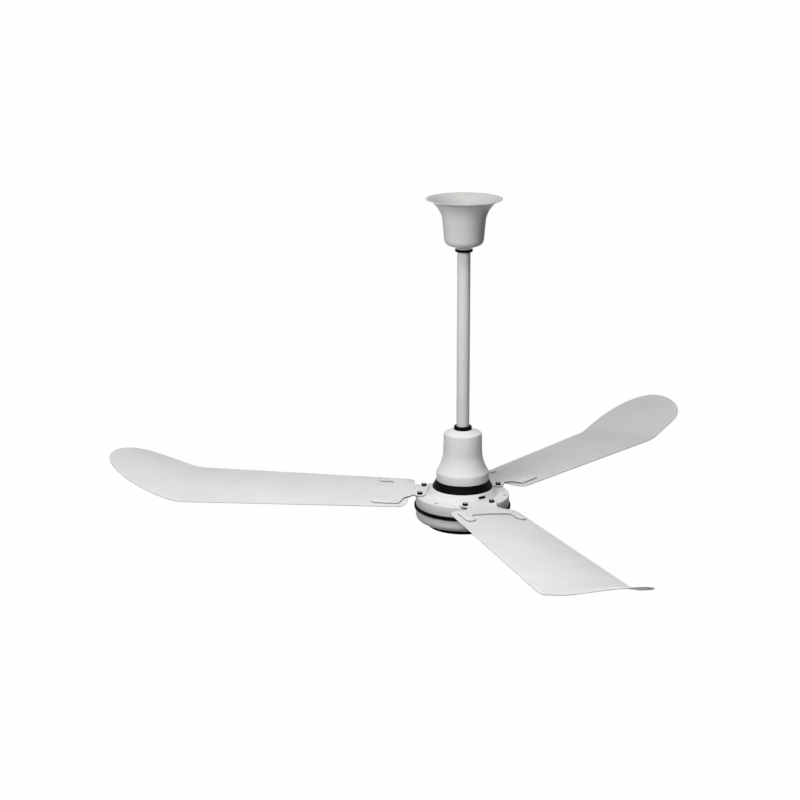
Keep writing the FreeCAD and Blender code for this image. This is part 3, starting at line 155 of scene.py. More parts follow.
def moulded_black(name, deep, dusty, rough, grain_mm, depth):
    """Black rubber or plastic from a mould: a fine grain, and dust that greys it in places."""
    material, tree, shader = finish_of(name)
    place = add(tree, "ShaderNodeTexCoord").outputs["Object"]
    dust = add(tree, "ShaderNodeTexNoise", {"Scale": per_metre(25), "Detail": 5.0}, Vector=place)
    colour = add(tree, "ShaderNodeValToRGB", {"stops": stops(deep, dusty, 0.45, 0.8)}, Fac=dust.outputs["Fac"])
    gloss = add(tree, "ShaderNodeMapRange", about(rough, 0.08, 0.12), Value=dust.outputs["Fac"])
    grain = add(tree, "ShaderNodeTexNoise", {"Scale": per_metre(grain_mm), "Detail": 2.0}, Vector=place)
    bump = add(tree, "ShaderNodeBump", {"Strength": 0.15, "Distance": depth}, Height=grain.outputs["Fac"])
    shader.inputs["Specular IOR Level"].default_value = 0.03
    join(tree, shader, Base_Color=colour.outputs["Color"], Roughness=gloss.outputs["Result"],
         Normal=bump.outputs["Normal"])
    return material


def metal(name, pale, dark, rough, blotch_mm, scratch_mm):
    """Bare or plated metal: patches of tone and fine scratches."""
    material, tree, shader = finish_of(name)
    place = add(tree, "ShaderNodeTexCoord").outputs["Object"]
    patch = add(tree, "ShaderNodeTexNoise", {"Scale": per_metre(blotch_mm), "Detail": 4.0}, Vector=place)
    colour = add(tree, "ShaderNodeValToRGB", {"stops": stops(dark, pale)}, Fac=patch.outputs["Fac"])
    gloss = add(tree, "ShaderNodeMapRange", about(rough, 0.1, 0.12), Value=patch.outputs["Fac"])
    scratch = add(tree, "ShaderNodeTexNoise", {"Scale": per_metre(scratch_mm), "Detail": 3.0}, Vector=place)
    bump = add(tree, "ShaderNodeBump", {"Strength": 0.1, "Distance": 0.0002}, Height=scratch.outputs["Fac"])
    shader.inputs["Metallic"].default_value = 1.0
    join(tree, shader, Base_Color=colour.outputs["Color"], Roughness=gloss.outputs["Result"],
         Normal=bump.outputs["Normal"])
    return material


def layered(name, pale, dark, rough, pitch_mm, metallic, axis):
    """Stacked sheets or wound wire: fine lines across one axis, worked out from their pitch."""
    material, tree, shader = finish_of(name)
    place = add(tree, "ShaderNodeTexCoord").outputs["Object"]
    # A wave repeats 20 times in 2 pi of its own units.
    scale = per_metre(pitch_mm) * 2 * math.pi / 20
    lines = add(tree, "ShaderNodeTexWave", {"bands_direction": axis, "Scale": scale, "Distortion": 0.4},
                Vector=place)
    colour = add(tree, "ShaderNodeValToRGB", {"stops": stops(dark, pale, 0.2, 0.8)}, Fac=lines.outputs["Fac"])
    bump = add(tree, "ShaderNodeBump", {"Strength": 0.4, "Distance": 0.0003}, Height=lines.outputs["Fac"])
    shader.inputs["Metallic"].default_value = metallic
    shader.inputs["Roughness"].default_value = rough
    join(tree, shader, Base_Color=colour.outputs["Color"], Normal=bump.outputs["Normal"])
    return material


def mottled(name, pale, dull, rough):
    """Plain moulded plastic or thin paint: matt, with a faint mottle."""
    material, tree, shader = finish_of(name)
    place = add(tree, "ShaderNodeTexCoord").outputs["Object"]
    mottle = add(tree, "ShaderNodeTexNoise", {"Scale": per_metre(6), "Detail": 3.0}, Vector=place)
    colour = add(tree, "ShaderNodeValToRGB", {"stops": stops(dull, pale)}, Fac=mottle.outputs["Fac"])
    gloss = add(tree, "ShaderNodeMapRange", about(rough, 0.05, 0.1), Value=mottle.outputs["Fac"])
    join(tree, shader, Base_Color=colour.outputs["Color"], Roughness=gloss.outputs["Result"])
    return material


finishes = {
    # The fan's coat: a warm white that keeps its shading soft.
    "white_paint": powder_coat("white_powder_coat", "E6E6E5", "E1E1E0", 0.45),
    # Collars, skirt and washers: dull black that sets the white pieces apart.
    "black_rubber": moulded_black("black_moulded_rubber", "070707", "0D0D0D", 0.6, 0.8, 0.0002),
    # Band and cap: a little smoother than the rubber.
    "black_plastic": moulded_black("black_moulded_plastic", "060606", "0B0B0B", 0.5, 0.6, 0.0001),
    # Hanger and small fasteners: bluish silver.
    "zinc_plated_steel": metal("zinc_plated_steel", "C3C6C8", "A4A8AB", 0.34, 5, 0.7),
    # Bearings and shaft: the brightest metal.
    "bearing_steel": metal("ground_bearing_steel", "BFC0C2", "A5A6A8", 0.2, 9, 0.5),
    # Stator: the edges of its stacked sheets.
    "core_steel": layered("stacked_core_steel", "6A6A6C", "39393B", 0.5, 1.0, 0.9, "Z"),
    # Winding: varnished turns of wire.
    "enamelled_copper": layered("enamelled_copper_wire", "B4642F", "5E2C12", 0.35, 1.2, 0.8, "X"),
    # Rotor end rings: grey and grainy.
    "cast_aluminium": metal("cast_aluminium", "B9BABB", "97989A", 0.5, 3, 1.2),
    "capacitor_case": mottled("moulded_capacitor_case", "E4E3DE", "D6D5D0", 0.3),
    # Terminal block: yellowed ivory.
    "terminal_plastic": mottled("moulded_terminal_plastic", "D9D3BF", "C7C0A9", 0.45),
    "brass": metal("turned_brass", "C9A35A", "A8843F", 0.3, 3, 0.5),
    # Bearing cages: brown, as reinforced plastic is.
    "cage_plastic": mottled("moulded_cage_plastic", "7A5730", "634423", 0.45),
}
# Inside of the canopy, its rim's flat top and the sunk screws' heads: a grey painted on as painted shade, for the
# shade inside the canopy and in the screws' dimples.
painted_shade_coat = mottled("inner_painted_shade", "BDBDBB", "B3B3B1", 0.6)
# A dark grey painted on as painted shade along the brackets' neck edges, and as painted light on the washers'
# upward faces, which it makes lighter than their black sides.
painted_shade_and_light = mottled("dark_grey_painted_shade_and_light", "646463", "4C4C4B", 0.6)
# Longer edges: a grey painted on as painted shade, for the dark line that a sheet's edge shows in shade.
painted_edge_shade = mottled("edge_painted_shade", "A9A9A7", "8F8F8D", 0.55)
slot_of = {entry["node"]: entry["material_slot"] for entry in frame["record"]["subparts"]}
for name, cad in frame["nodes"].items():
    cad.data.materials.clear()
    cad.data.materials.append(finishes[slot_of[name]])


# Mesh helpers

LATHE_STEPS = 180
SHARP_ANGLE = math.radians(40)
# Points of a turned shape that lie closer than this are one.
LATHE_MERGE = 0.0005
FEWEST_SEGMENTS, MOST_SEGMENTS, SEGMENTS_PER_MM = 3, 28, 1.5


def finished(bm, name, node, body, *other_finishes):
    """Turns a mesh in millimetres into a piece that stands for a CAD node.

    Faces of material index 0 take the node's own finish, those of 1 and above the other finishes.
    """
    bmesh.ops.scale(bm, vec=(MM, MM, MM), verts=bm.verts[:])
    mesh = bpy.data.meshes.new(name)
    bm.to_mesh(mesh)
    bm.free()
    mesh.shade_smooth()
    mesh.set_sharp_from_angle(angle=SHARP_ANGLE)
    piece = bpy.data.objects.new(name, mesh)
    scene.collection.objects.link(piece)
    for finish in (finishes[slot_of[node]], *other_finishes):
        mesh.materials.append(finish)
    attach(piece, body)
    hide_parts(node)


def verts_in(made):
    """The vertices among what a mesh operator made."""
    return [item for item in made["geom"] if isinstance(item, bmesh.types.BMVert)]


def wire_loop(bm, corners):
    """A closed wire through corners (x, y, z, rounding), each rounded to its radius."""
    verts = [bm.verts.new(corner[:3]) for corner in corners]
    for here, after in zip(verts, verts[1:] + verts[:1]):
        bm.edges.new((here, after))
    points = [Vector(corner[:3]) for corner in corners]
    for i, corner in enumerate(corners):
        rounding = corner[3]
        if rounding > 0:
            back = (points[i - 1] - points[i]).normalized()
            on = (points[(i + 1) % len(points)] - points[i]).normalized()
            segments = max(FEWEST_SEGMENTS, min(MOST_SEGMENTS, int(rounding * SEGMENTS_PER_MM)))
            bmesh.ops.bevel(bm, geom=[verts[i]], offset=rounding / math.tan(back.angle(on) / 2),
                            offset_type="OFFSET", affect="VERTICES", segments=segments, profile=0.5,
                            material=-1)


def lathe(outline, base, steps=LATHE_STEPS):
    """A shape turned about Z from (radius, height, rounding) corners, heights above base."""
    bm = bmesh.new()
    wire_loop(bm, [(radius, 0.0, base + height, rounding) for radius, height, rounding in outline])
    bmesh.ops.spin(bm, geom=bm.verts[:] + bm.edges[:], cent=(0, 0, 0), axis=(0, 0, 1), dvec=(0, 0, 0),
                   angle=2 * math.pi, steps=steps, use_merge=True, use_duplicate=False)
    bmesh.ops.remove_doubles(bm, verts=bm.verts[:], dist=LATHE_MERGE)
    bmesh.ops.recalc_face_normals(bm, faces=bm.faces[:])
    return bm


# Ceiling canopy, rod and rubber collars

# The painted shade covers the canopy's inside down to this depth, and the rim's flat top.
PAINTED_SHADE_DEPTH = 80.0
RIM_FLAT = 0.5


def canopy():
    outline = [
        (72.5, 0.0, 0.4), (72.5, -1.2, 0.4), (68.5, -1.2, 2.0), (43.8, -13.2, 48.5), (36.5, -90.4, 14.0),
        (16.3, -90.4, 1.2), (16.3, -95.6, 0.5), (12.8, -95.6, 0.0), (12.8, -89.2, 0.0), (35.4, -89.2, 12.8),
        (42.5, -12.4, 49.7), (67.9, 0.0, 1.6)]
    shell = lathe(outline, RIM_RISE)
    # Painted shade: inward faces and the rim's flat top take the darker grey.
    for face in shell.faces:
        middle = face.calc_center_median()
        inward = face.normal.xy.dot(middle.xy) < 0 and middle.z > RIM_RISE - PAINTED_SHADE_DEPTH
        face.material_index = int(inward or middle.z > RIM_RISE - RIM_FLAT)
    finished(shell, "canopy_shell", "ceiling_canopy", "canopy", painted_shade_coat)
    collar = [(12.55, -95.6, 0.0), (12.55, -101.0, 0.6), (16.9, -101.0, 1.5), (16.9, -95.6, 1.5)]
    finished(lathe(collar, RIM_RISE), "canopy_rubber", "canopy_collar", "canopy")


def rod():
    outline = [(10.3, -504.5, 0.5), (12.5, -504.5, 0.6), (12.5, -25.0, 0.6), (10.3, -25.0, 0.5)]
    finished(lathe(outline, 0.0), "rod_tube", "downrod", "suspension")


def bell():
    outline = [
        (51.2, 29.5, 0.5), (51.2, 46.45, 4.0), (38.5, 64.7, 69.0), (36.85, 123.55, 3.0), (18.3, 130.65, 1.0),
        (15.5, 130.65, 0.5), (15.5, 129.45, 0.5), (18.0, 129.45, 0.0), (35.7, 122.6, 1.8), (37.3, 64.4, 70.2),
        (50.0, 46.1, 2.8), (50.0, 29.5, 0.5)]
    finished(lathe(outline, MOTOR_TOP), "bell_shell", "motor_bell", "bell")
    grommet = [
        (12.55, 126.15, 0.0), (17.3, 126.15, 0.8), (17.3, 129.35, 0.4), (15.4, 129.35, 0.0),
        (15.4, 130.75, 0.0), (17.3, 130.75, 0.6), (17.3, 137.75, 2.0), (12.55, 137.75, 0.5)]
    finished(lathe(grommet, MOTOR_TOP), "bell_rubber", "bell_grommet", "bell")


# Motor covers

COVER_STEPS = 240
WINDOW_ANGLE = 15.5
WINDOW_RADIAL, WINDOW_HEIGHT = 63.0, 7.1
WINDOW_HALF_WIDTH, WINDOW_HALF_HEIGHT = 9.0, 2.9
# The part of the cover that the window's cuts may reach.
CUT_HALF_WIDTH, CUT_HALF_HEIGHT, CUT_DEPTH = 16.0, 9.0, 12.0
WINDOW_CUT_SLACK = 0.0001


def skirt():
    outline = [
        (46.1, 14.2, 0.0), (58.6, 14.2, 0.4), (58.6, 16.2, 0.8), (55.2, 22.8, 0.5), (54.4, 22.8, 0.2),
        (54.4, 23.6, 0.4), (52.2, 28.5, 0.8), (48.6, 28.5, 0.0), (48.6, 34.0, 0.4), (46.1, 34.0, 0.4)]
    finished(lathe(outline, MOTOR_TOP), "skirt_ring", "dust_skirt", "rotor")


def cut_window(bm):
    """Opens the cover's one window through its cone, and gives the opening its walls."""
    heading = math.radians(HEADINGS["front"] + WINDOW_ANGLE)
    out = Vector((math.cos(heading), math.sin(heading), 0))
    along = Vector((-math.sin(heading), math.cos(heading), 0))
    up = Vector((0, 0, 1))
    middle = out * WINDOW_RADIAL + up * (MOTOR_TOP + WINDOW_HEIGHT)

    def near(face, half_width, half_height):
        spot = face.calc_center_median() - middle
        return spot.dot(out) > -CUT_DEPTH and abs(spot.dot(along)) < half_width and abs(spot.z) < half_height

    for way, half in ((along, WINDOW_HALF_WIDTH), (up, WINDOW_HALF_HEIGHT)):
        for side in (1, -1):
            faces = [face for face in bm.faces if near(face, CUT_HALF_WIDTH, CUT_HALF_HEIGHT)]
            edges = list({edge for face in faces for edge in face.edges})
            verts = list({vert for face in faces for vert in face.verts})
            bmesh.ops.bisect_plane(bm, geom=faces + edges + verts, plane_co=middle + way * half * side,
                                   plane_no=way, dist=WINDOW_CUT_SLACK)
    inside = [face for face in bm.faces if near(face, WINDOW_HALF_WIDTH, WINDOW_HALF_HEIGHT)]
    rims = {edge for face in inside for edge in face.edges
            if any(other not in inside for other in edge.link_faces)}
    bmesh.ops.delete(bm, geom=inside, context="FACES")
    bmesh.ops.bridge_loops(bm, edges=[edge for edge in rims if edge.is_valid and edge.is_boundary])
    bmesh.ops.recalc_face_normals(bm, faces=bm.faces[:])


def covers():
    upper = lathe([
        (21.0, 27.0, 0.0), (46.0, 27.0, 0.5), (46.0, 14.2, 0.0), (58.8, 14.2, 0.8), (68.0, 0.0, 2.5),
        (91.1, 0.0, 2.0), (91.1, -20.2, 0.4), (88.1, -20.2, 0.0), (88.1, -3.0, 0.0), (66.5, -3.0, 0.0),
        (57.3, 11.2, 0.0), (19.0, 11.2, 0.0), (19.0, 14.0, 0.0), (21.0, 14.0, 0.0)], MOTOR_TOP, COVER_STEPS)
    cut_window(upper)
    finished(upper, "upper_housing", "upper_cover", "rotor")
    band = [
        (72.0, -11.45, 0.0), (88.0, -11.45, 0.0), (88.0, -20.2, 0.0), (94.2, -20.2, 1.2), (94.2, -26.7, 1.2),
        (88.0, -26.7, 0.0), (88.0, -35.45, 0.0), (72.0, -35.45, 0.0)]
    finished(lathe(band, MOTOR_TOP), "black_band", "rotor_ring", "rotor")
    lower = [
        (91.1, -26.7, 0.4), (91.1, -50.8, 11.0), (65.8, -50.8, 0.0), (65.8, -55.8, 0.0), (63.1, -55.8, 0.0),
        (63.1, -50.8, 0.0), (26.0, -50.8, 0.0), (26.0, -54.8, 0.0), (16.0, -54.8, 0.0), (16.0, -52.8, 0.0),
        (21.0, -52.8, 0.0), (21.0, -40.8, 0.0), (26.0, -40.8, 0.0), (26.0, -47.8, 0.0), (88.1, -47.8, 8.0),
        (88.1, -26.7, 0.0)]
    finished(lathe(lower, MOTOR_TOP), "lower_housing", "lower_cover", "rotor")
    cap = [(69.0, -50.8, 0.3), (66.0, -50.8, 0.0), (66.0, -60.4, 0.0), (0.0, -60.4, 0.0), (0.0, -62.4, 0.0),
           (69.0, -62.4, 3.0)]
    finished(lathe(cap, MOTOR_TOP), "black_cap", "bottom_cap", "rotor")


# Blades

CAMBER = 495.0
BLADE_GAUGE = 1.5
BLADE_EDGE_ROUND = 0.5
ROOT, TIP = 102.0, 710.3
ROOT_CORNER = 18.0
LEAD_ROOT, LEAD_FLANK, LEAD_END = 71.8, 92.3, 635.5
TRAIL_ROOT, TRAIL_FLANK, TRAIL_END = 68.8, 89.5, 567.8
APEX = 2.8
BEND_AT, BEND_ROUND = 534.5, 120.0
BENDS = {"back": math.radians(17.4), "left": math.radians(17.4), "front": math.radians(19.2)}
BEND_PASSES = 4
# Shares of the grid's length and the plan radius that each reaches: the fine cells run from just before the bend to
# just past the trailing flank's end.
BEFORE_BEND, PAST_FLANK = 6.0, 10.0
RADIAL_STOPS = ((0.0, ROOT), (0.12, ROOT + ROOT_CORNER), (0.38, BEND_AT - BEFORE_BEND),
                (0.62, TRAIL_END + PAST_FLANK), (1.0, TIP))
GRID_ALONG, GRID_ACROSS = 100, 28
GRID_MERGE = 0.01
# Edges that fold more than this go round the sheet's rim.
RIM_FOLD = math.radians(60)
# A face that leans more than this from level belongs to a sheet's edge, and takes the painted edge shade.
BLADE_EDGE_LEAN = 0.4


def edge_of(radial, root_half, end_half, end_at, apex):
    """Half width of a blade on one side: rounded root corner, straight flank, oval tip."""
    flank_start = ROOT + ROOT_CORNER
    if radial < flank_start:
        inward = flank_start - radial
        return root_half - ROOT_CORNER + math.sqrt(max(ROOT_CORNER ** 2 - inward ** 2, 0))
    if radial < end_at:
        return root_half + (end_half - root_half) * (radial - flank_start) / (end_at - flank_start)
    share = min((radial - end_at) / (TIP - end_at), 1.0)
    return apex + (end_half - apex) * math.sqrt(max(1 - share ** 2, 0))


def bent_height(radial, crown, bend):
    """Height of a point that lies crown above the sheet's ridge line, at a plan radius, before the pitch."""
    arc_end = BEND_AT + BEND_ROUND * math.sin(bend)
    arc_rise = BEND_ROUND * (1 - math.cos(bend))
    turn = 0.0
    for _ in range(BEND_PASSES):
        spine = radial + math.sin(turn) * crown
        turn = math.asin(min(max((spine - BEND_AT) / BEND_ROUND, 0), math.sin(bend)))
    if spine <= arc_end:
        rise = BEND_ROUND * (1 - math.cos(turn))
    else:
        rise = arc_rise + (spine - arc_end) * math.tan(bend)
    return rise + math.cos(turn) * crown


def crown_at(chord):
    """Height of the cambered sheet beside its ridge line."""
    return math.sqrt(CAMBER ** 2 - chord ** 2) - CAMBER


def radial_at(share):
    """Plan radius along a blade, closer together at the root's corners, the bend and the tip."""
    for (low, start), (high, end) in zip(RADIAL_STOPS, RADIAL_STOPS[1:]):
        if share <= high:
            local = (share - low) / (high - low)
            if start == ROOT:
                local = 1 - math.cos(local * math.pi / 2)
            if end == TIP:
                local = math.sin(local * math.pi / 2)
            return start + (end - start) * local
    return TIP


def on_motor(heading):
    """Turns a blade's heading, from +X, and lowers it to the motor's flat top."""
    return Matrix.Translation((0, 0, MOTOR_TOP)) @ Matrix.Rotation(math.radians(heading), 4, "Z")


def blade(side, heading):
    bm = bmesh.new()
    bmesh.ops.create_grid(bm, x_segments=GRID_ALONG, y_segments=GRID_ACROSS, size=0.5)
    for vert in bm.verts:
        radial = radial_at(vert.co.x + 0.5)
        lead = -edge_of(radial, LEAD_ROOT, LEAD_FLANK, LEAD_END, APEX)
        trail = edge_of(radial, TRAIL_ROOT, TRAIL_FLANK, TRAIL_END, -APEX)
        chord = lead + (trail - lead) * (vert.co.y + 0.5)
        vert.co = (radial, chord, bent_height(radial, crown_at(chord), BENDS[side]))
    bmesh.ops.remove_doubles(bm, verts=bm.verts[:], dist=GRID_MERGE)
    bmesh.ops.recalc_face_normals(bm, faces=bm.faces[:])
    if sum(face.normal.z for face in bm.faces) < 0:
        bmesh.ops.reverse_faces(bm, faces=bm.faces[:])
    for vert in verts_in(bmesh.ops.extrude_face_region(bm, geom=bm.faces[:])):
        vert.co -= vert.normal * BLADE_GAUGE
    bmesh.ops.recalc_face_normals(bm, faces=bm.faces[:])
    sharp = [edge for edge in bm.edges if edge.calc_face_angle(0) > RIM_FOLD]
    bmesh.ops.bevel(bm, geom=sharp, offset=BLADE_EDGE_ROUND, offset_type="OFFSET", affect="EDGES", segments=2,
                    profile=0.5, material=-1)
    # Painted shade: the faces of the sheet's edges take the edge grey.
    for face in bm.faces:
        face.material_index = int(abs(face.normal.z) < BLADE_EDGE_LEAN)
    bmesh.ops.transform(bm, matrix=on_motor(heading) @ Matrix.Rotation(-PITCH, 4, "X"), verts=bm.verts[:])
    finished(bm, f"sheet_blade_{side}", f"blade_{side}", "rotor", painted_edge_shade)


# Blade brackets

GAUGE = 3.0
TOP_ROUND, FOOT_ROUND = 0.5, 1.2
# The plate lies flat to the twist's start and on the blade from its end.
TWIST_START, TWIST_LENGTH = 91.5, 9.5
LAY_PASSES = 3
ARM_CHORD = 51.0
BEAD_START, BEAD_END, BEAD_REACH, BEAD_HEIGHT = 136.5, 151.0, 4.6, 1.2
# The neck's edges, from the motor's rim to the arms, take the darker painted shade; the plate's other edges take
# the lighter one.
NECK_START, NECK_END = 88.0, 116.0
PLATE_EDGE_LEAN = 0.9
# One half of the outline: (radial, across, height, rounding).
BRACKET = [
    (69.5, -38.0, 0.0, 10.5), (82.0, -38.0, 0.0, 6.0), (97.0, -31.0, 0.0, 0.0), (108.3, -32.3, 0.0, 16.5),
    (116.8, -60.7, 0.0, 7.0), (173.0, -61.0, 0.0, 9.95), (173.0, -41.0, 0.0, 9.95), (142.0, -41.0, 0.0, 5.0)]
OUTLINE_MERGE = 0.06
LEVEL_SLACK = 0.01
# Where the plate is cut so that it can follow the twist, the beads and the camber.
CUTS_ALONG = [*range(72, 132, 3), *(step * 0.75 for step in range(176, 220))]
CUTS_ACROSS = [*range(-36, 37, 6), *(side * (45.0 + step) for side in (-1, 1) for step in range(13))]
PLATE_CUT_SLACK = 0.001


def laid(radial, across, above):
    """A bracket's point: flat over the motor, then on the blade's pitched and cambered back."""
    share = min(max((radial - TWIST_START) / TWIST_LENGTH, 0), 1)
    share = share * share * (3 - 2 * share)
    chord = across
    for _ in range(LAY_PASSES):
        chord = (across - math.sin(PITCH) * (crown_at(chord) + above)) / math.cos(PITCH)
    lifted = math.cos(PITCH) * (crown_at(chord) + above) - math.sin(PITCH) * chord
    return Vector((radial, across, above + (lifted - above) * share))


def bead_rise(radial, across):
    """Height of the pressed bead on each arm."""
    along = max(BEAD_START - radial, radial - BEAD_END, 0)
    away = math.hypot(along, abs(across) - ARM_CHORD)
    return BEAD_HEIGHT * (0.5 + 0.5 * math.cos(math.pi * min(away / BEAD_REACH, 1)))


def bracket(side, heading):
    bm = bmesh.new()
    wire_loop(bm, BRACKET + [(x, -y, z, rounding) for x, y, z, rounding in reversed(BRACKET)])
    bmesh.ops.remove_doubles(bm, verts=bm.verts[:], dist=OUTLINE_MERGE)
    bmesh.ops.contextual_create(bm, geom=bm.edges[:])
    for vert in verts_in(bmesh.ops.extrude_face_region(bm, geom=bm.faces[:])):
        vert.co.z = GAUGE
    bmesh.ops.recalc_face_normals(bm, faces=bm.faces[:])
    for height, rounding in ((GAUGE, TOP_ROUND), (0.0, FOOT_ROUND)):
        rim = [edge for edge in bm.edges if all(abs(vert.co.z - height) < LEVEL_SLACK for vert in edge.verts)]
        bmesh.ops.bevel(bm, geom=rim, offset=rounding, offset_type="OFFSET", affect="EDGES", segments=2,
                        profile=0.5, material=-1)
    cuts = [((x, 0, 0), (1, 0, 0)) for x in CUTS_ALONG] + [((0, y, 0), (0, 1, 0)) for y in CUTS_ACROSS]
    for point, normal in cuts:
        bmesh.ops.bisect_plane(bm, geom=bm.faces[:] + bm.edges[:] + bm.verts[:], plane_co=point,
                               plane_no=normal, dist=PLATE_CUT_SLACK)
    bm.normal_update()
    # Painted shade: the plate's edge faces take the darker grey on the neck and the edge grey elsewhere.
    for face in bm.faces:
        if abs(face.normal.z) < PLATE_EDGE_LEAN:
            face.material_index = 1 if NECK_START < face.calc_center_median().x < NECK_END else 2
    for vert in bm.verts:
        lift = bead_rise(vert.co.x, vert.co.y) if vert.co.z > GAUGE / 2 else 0.0
        vert.co = laid(vert.co.x, vert.co.y, vert.co.z + lift)
    bmesh.ops.transform(bm, matrix=on_motor(heading), verts=bm.verts[:])
    finished(bm, f"pressed_bracket_{side}", f"blade_bracket_{side}", "rotor", painted_shade_and_light, painted_edge_shade)


# Fasteners

FASTENER_STEPS, RIVET_STEPS = 40, 32
BOLT_RADIAL, BOLT_CHORD = 80.0, 27.5
# The washers' faces that look up take a grey painted light, lighter than their black sides.
WASHER_PAINTED_LIGHT_LEAN = 0.5
# The screws' painted highlight, a light middle on their black heads, rises from here, above the bracket.
PAINTED_HIGHLIGHT_FROM = 4.41
SUNK_SCREW_RADIAL, SUNK_SCREW_TURN = 83.0, -60.0
RIVET_RADIALS = (125.0, 162.5)


def copies(outline, places, steps):
    """One turned shape repeated at several places."""
    bm = lathe(outline, 0.0, steps)
    first = bm.verts[:] + bm.edges[:] + bm.faces[:]
    pattern = bm.verts[:]
    for place in places:
        made = bmesh.ops.duplicate(bm, geom=first)
        bmesh.ops.transform(bm, matrix=place, verts=verts_in(made))
    bmesh.ops.delete(bm, geom=pattern, context="VERTS")
    return bm


def bracket_screws():
    seats = [on_motor(heading) @ Matrix.Translation((BOLT_RADIAL, side * BOLT_CHORD, GAUGE))
             for heading in HEADINGS.values() for side in (-1, 1)]
    washer = [(3.1, 0.0, 0.0), (5.2, 0.0, 0.3), (5.2, 4.6, 0.7), (3.4, 4.6, 0.3), (3.4, 3.3, 0.0),
              (3.1, 3.3, 0.0)]
    washers = copies(washer, seats, FASTENER_STEPS)
    for face in washers.faces:
        face.material_index = int(face.normal.z > WASHER_PAINTED_LIGHT_LEAN)
    finished(washers, "screw_washers", "bracket_washers", "rotor", painted_shade_and_light)
    screw = [(0.0, -11.0, 0.0), (3.0, -11.0, 0.5), (3.0, 3.3, 0.0), (3.2, 3.3, 0.1), (3.2, 4.4, 0.3),
             (1.9, 4.4, 0.0), (1.9, 4.55, 0.1), (0.0, 4.55, 0.0)]
    heads = copies(screw, seats, FASTENER_STEPS)
    # Painted highlight: only the raised middle keeps the light metal; the rest of each head is black.
    for face in heads.faces:
        face.material_index = int(face.calc_center_median().z < MOTOR_TOP + GAUGE + PAINTED_HIGHLIGHT_FROM)
    finished(heads, "screw_heads", "bracket_screws", "rotor", finishes["black_rubber"])


def housing_screws():
    sinks = [on_motor(heading + SUNK_SCREW_TURN) @ Matrix.Translation((SUNK_SCREW_RADIAL, 0, 0))
             for heading in HEADINGS.values()]
    outline = [(0.0, -44.6, 0.0), (2.5, -44.6, 0.4), (2.5, -1.5, 0.0), (4.5, -1.5, 0.0), (4.5, 0.25, 0.2),
               (0.0, 0.25, 0.0)]
    screws = copies(outline, sinks, FASTENER_STEPS)
    # Painted shade: the heads' parts above the cover take the grey, for the shade of a shallow dimple.
    for face in screws.faces:
        face.material_index = int(face.calc_center_median().z > MOTOR_TOP)
    finished(screws, "housing_screw_set", "housing_screws", "rotor", painted_shade_coat)


def blade_rivets():
    places = []
    for heading in HEADINGS.values():
        for radial in RIVET_RADIALS:
            for side in (-1, 1):
                lean = Matrix.Rotation(-PITCH - math.asin(side * ARM_CHORD / CAMBER), 4, "X")
                spot = Matrix.Translation(laid(radial, side * ARM_CHORD, 0.0))
                places.append(on_motor(heading) @ spot @ lean)
    rivet = [(0.0, -2.7, 0.0), (3.8, -2.7, 0.9), (3.8, -1.5, 0.0), (2.4, -1.5, 0.0), (2.4, 3.0, 0.0),
             (3.8, 3.0, 0.0), (3.8, 4.2, 0.9), (0.0, 4.2, 0.0)]
    finished(copies(rivet, places, RIVET_STEPS), "blade_rivet_set", "blade_rivets", "rotor")


canopy()
rod()
bell()
skirt()
covers()
for side, heading in HEADINGS.items():
    blade(side, heading)
    bracket(side, heading)
bracket_screws()
housing_screws()
blade_rivets()


# Studio: a pale floor far below, a white surround and soft lamps

FLOOR_HEIGHT, FLOOR_HALF = -5.0, 40.0
FLOOR_COLOUR, FLOOR_ROUGHNESS = "E8E8E8", 0.9
# What the camera sees round the fan, and the faint light that the sky itself gives.
SURROUND, SURROUND_STRENGTH = "FEFEFE", 1.0
SKY_COLOUR, SKY_STRENGTH = "FFFFFF", 0.01
AIM = Vector((0, 0, -0.45))


def rays_that_look(tree):
    """1 for rays from the camera, a mirror or glass, so that these see white."""
    path = add(tree, "ShaderNodeLightPath").outputs
    seen = path["Is Camera Ray"]
    for other in ("Is Glossy Ray", "Is Transmission Ray"):
        either = add(tree, "ShaderNodeMath", {"operation": "MAXIMUM"})
        tree.links.new(seen, either.inputs[0])
        tree.links.new(path[other], either.inputs[1])
        seen = either.outputs["Value"]
    return seen


def white_where_seen(tree, plain, white, end):
    """Shows the plain shader to the light's own rays and the white one to those that look."""
    mix = add(tree, "ShaderNodeMixShader", None, Fac=rays_that_look(tree))
    tree.links.new(plain, mix.inputs[1])
    tree.links.new(white, mix.inputs[2])
    join(tree, end, Surface=mix.outputs["Shader"])


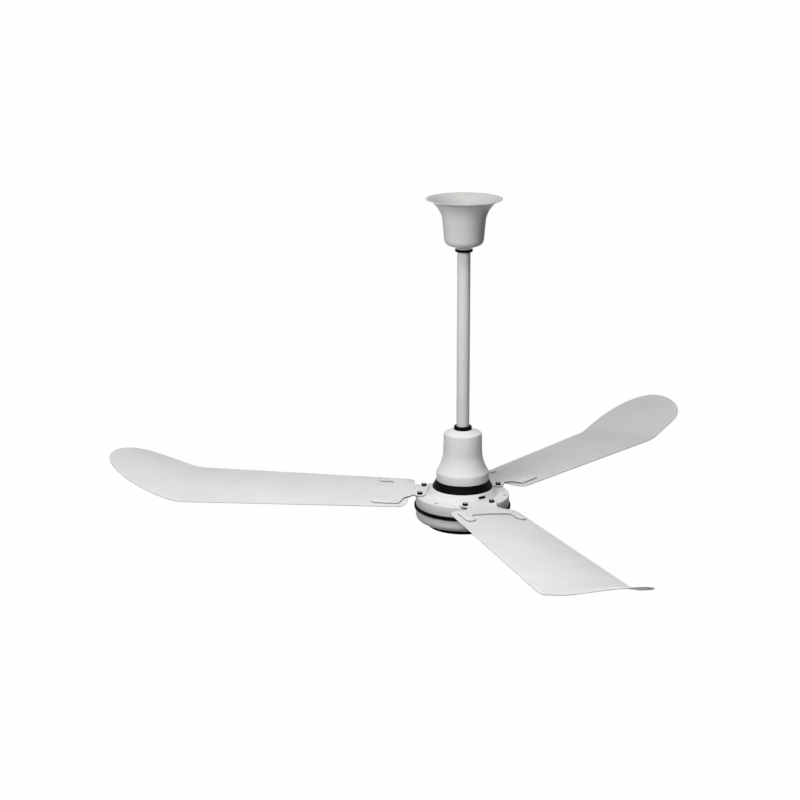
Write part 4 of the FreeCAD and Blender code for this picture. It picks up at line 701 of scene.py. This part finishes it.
def floor():
    bm = bmesh.new()
    bmesh.ops.create_grid(bm, x_segments=1, y_segments=1, size=FLOOR_HALF)
    bmesh.ops.translate(bm, vec=(0, 0, FLOOR_HEIGHT), verts=bm.verts[:])
    mesh = bpy.data.meshes.new("pale_floor")
    bm.to_mesh(mesh)
    bm.free()
    piece = bpy.data.objects.new("pale_floor", mesh)
    scene.collection.objects.link(piece)
    material, tree, shader = finish_of("pale_studio_floor")
    shader.inputs["Base Color"].default_value = rgb(FLOOR_COLOUR)
    shader.inputs["Roughness"].default_value = FLOOR_ROUGHNESS
    white = add(tree, "ShaderNodeEmission", {"Color": rgb(SURROUND), "Strength": SURROUND_STRENGTH})
    white_where_seen(tree, shader.outputs["BSDF"], white.outputs["Emission"], tree.nodes["Material Output"])
    mesh.materials.append(material)


def sky():
    world = bpy.data.worlds.new("pale_studio")
    scene.world = world
    world.use_nodes = True
    tree = world.node_tree
    tree.nodes.clear()
    soft = add(tree, "ShaderNodeBackground", {"Color": rgb(SKY_COLOUR), "Strength": SKY_STRENGTH})
    white = add(tree, "ShaderNodeBackground", {"Color": rgb(SURROUND), "Strength": SURROUND_STRENGTH})
    white_where_seen(tree, soft.outputs["Background"], white.outputs["Background"],
                     add(tree, "ShaderNodeOutputWorld"))


def lamp(name, round_from_front, rise, away, size, power):
    """A soft round lamp aimed at the fan's middle: degrees round from the front to the right, and up."""
    data = bpy.data.lights.new(name, "AREA")
    data.shape = "DISK"
    data.size = size
    data.energy = power
    light = bpy.data.objects.new(name, data)
    way_round, up = math.radians(round_from_front), math.radians(rise)
    way = Vector((math.sin(way_round) * math.cos(up), -math.cos(way_round) * math.cos(up), math.sin(up)))
    light.location = AIM + way * away
    light.rotation_euler = (-way).to_track_quat("-Z", "Y").to_euler()
    scene.collection.objects.link(light)


floor()
sky()
lamp("near_lamp", round_from_front=330, rise=35, away=1.5, size=0.85, power=11.8)
lamp("top_lamp", round_from_front=0, rise=72, away=3.2, size=1.4, power=62.0)
lamp("low_lamp", round_from_front=5, rise=10, away=3.2, size=1.4, power=7.0)
lamp("back_lamp", round_from_front=180, rise=-25, away=3.2, size=1.4, power=40.0)
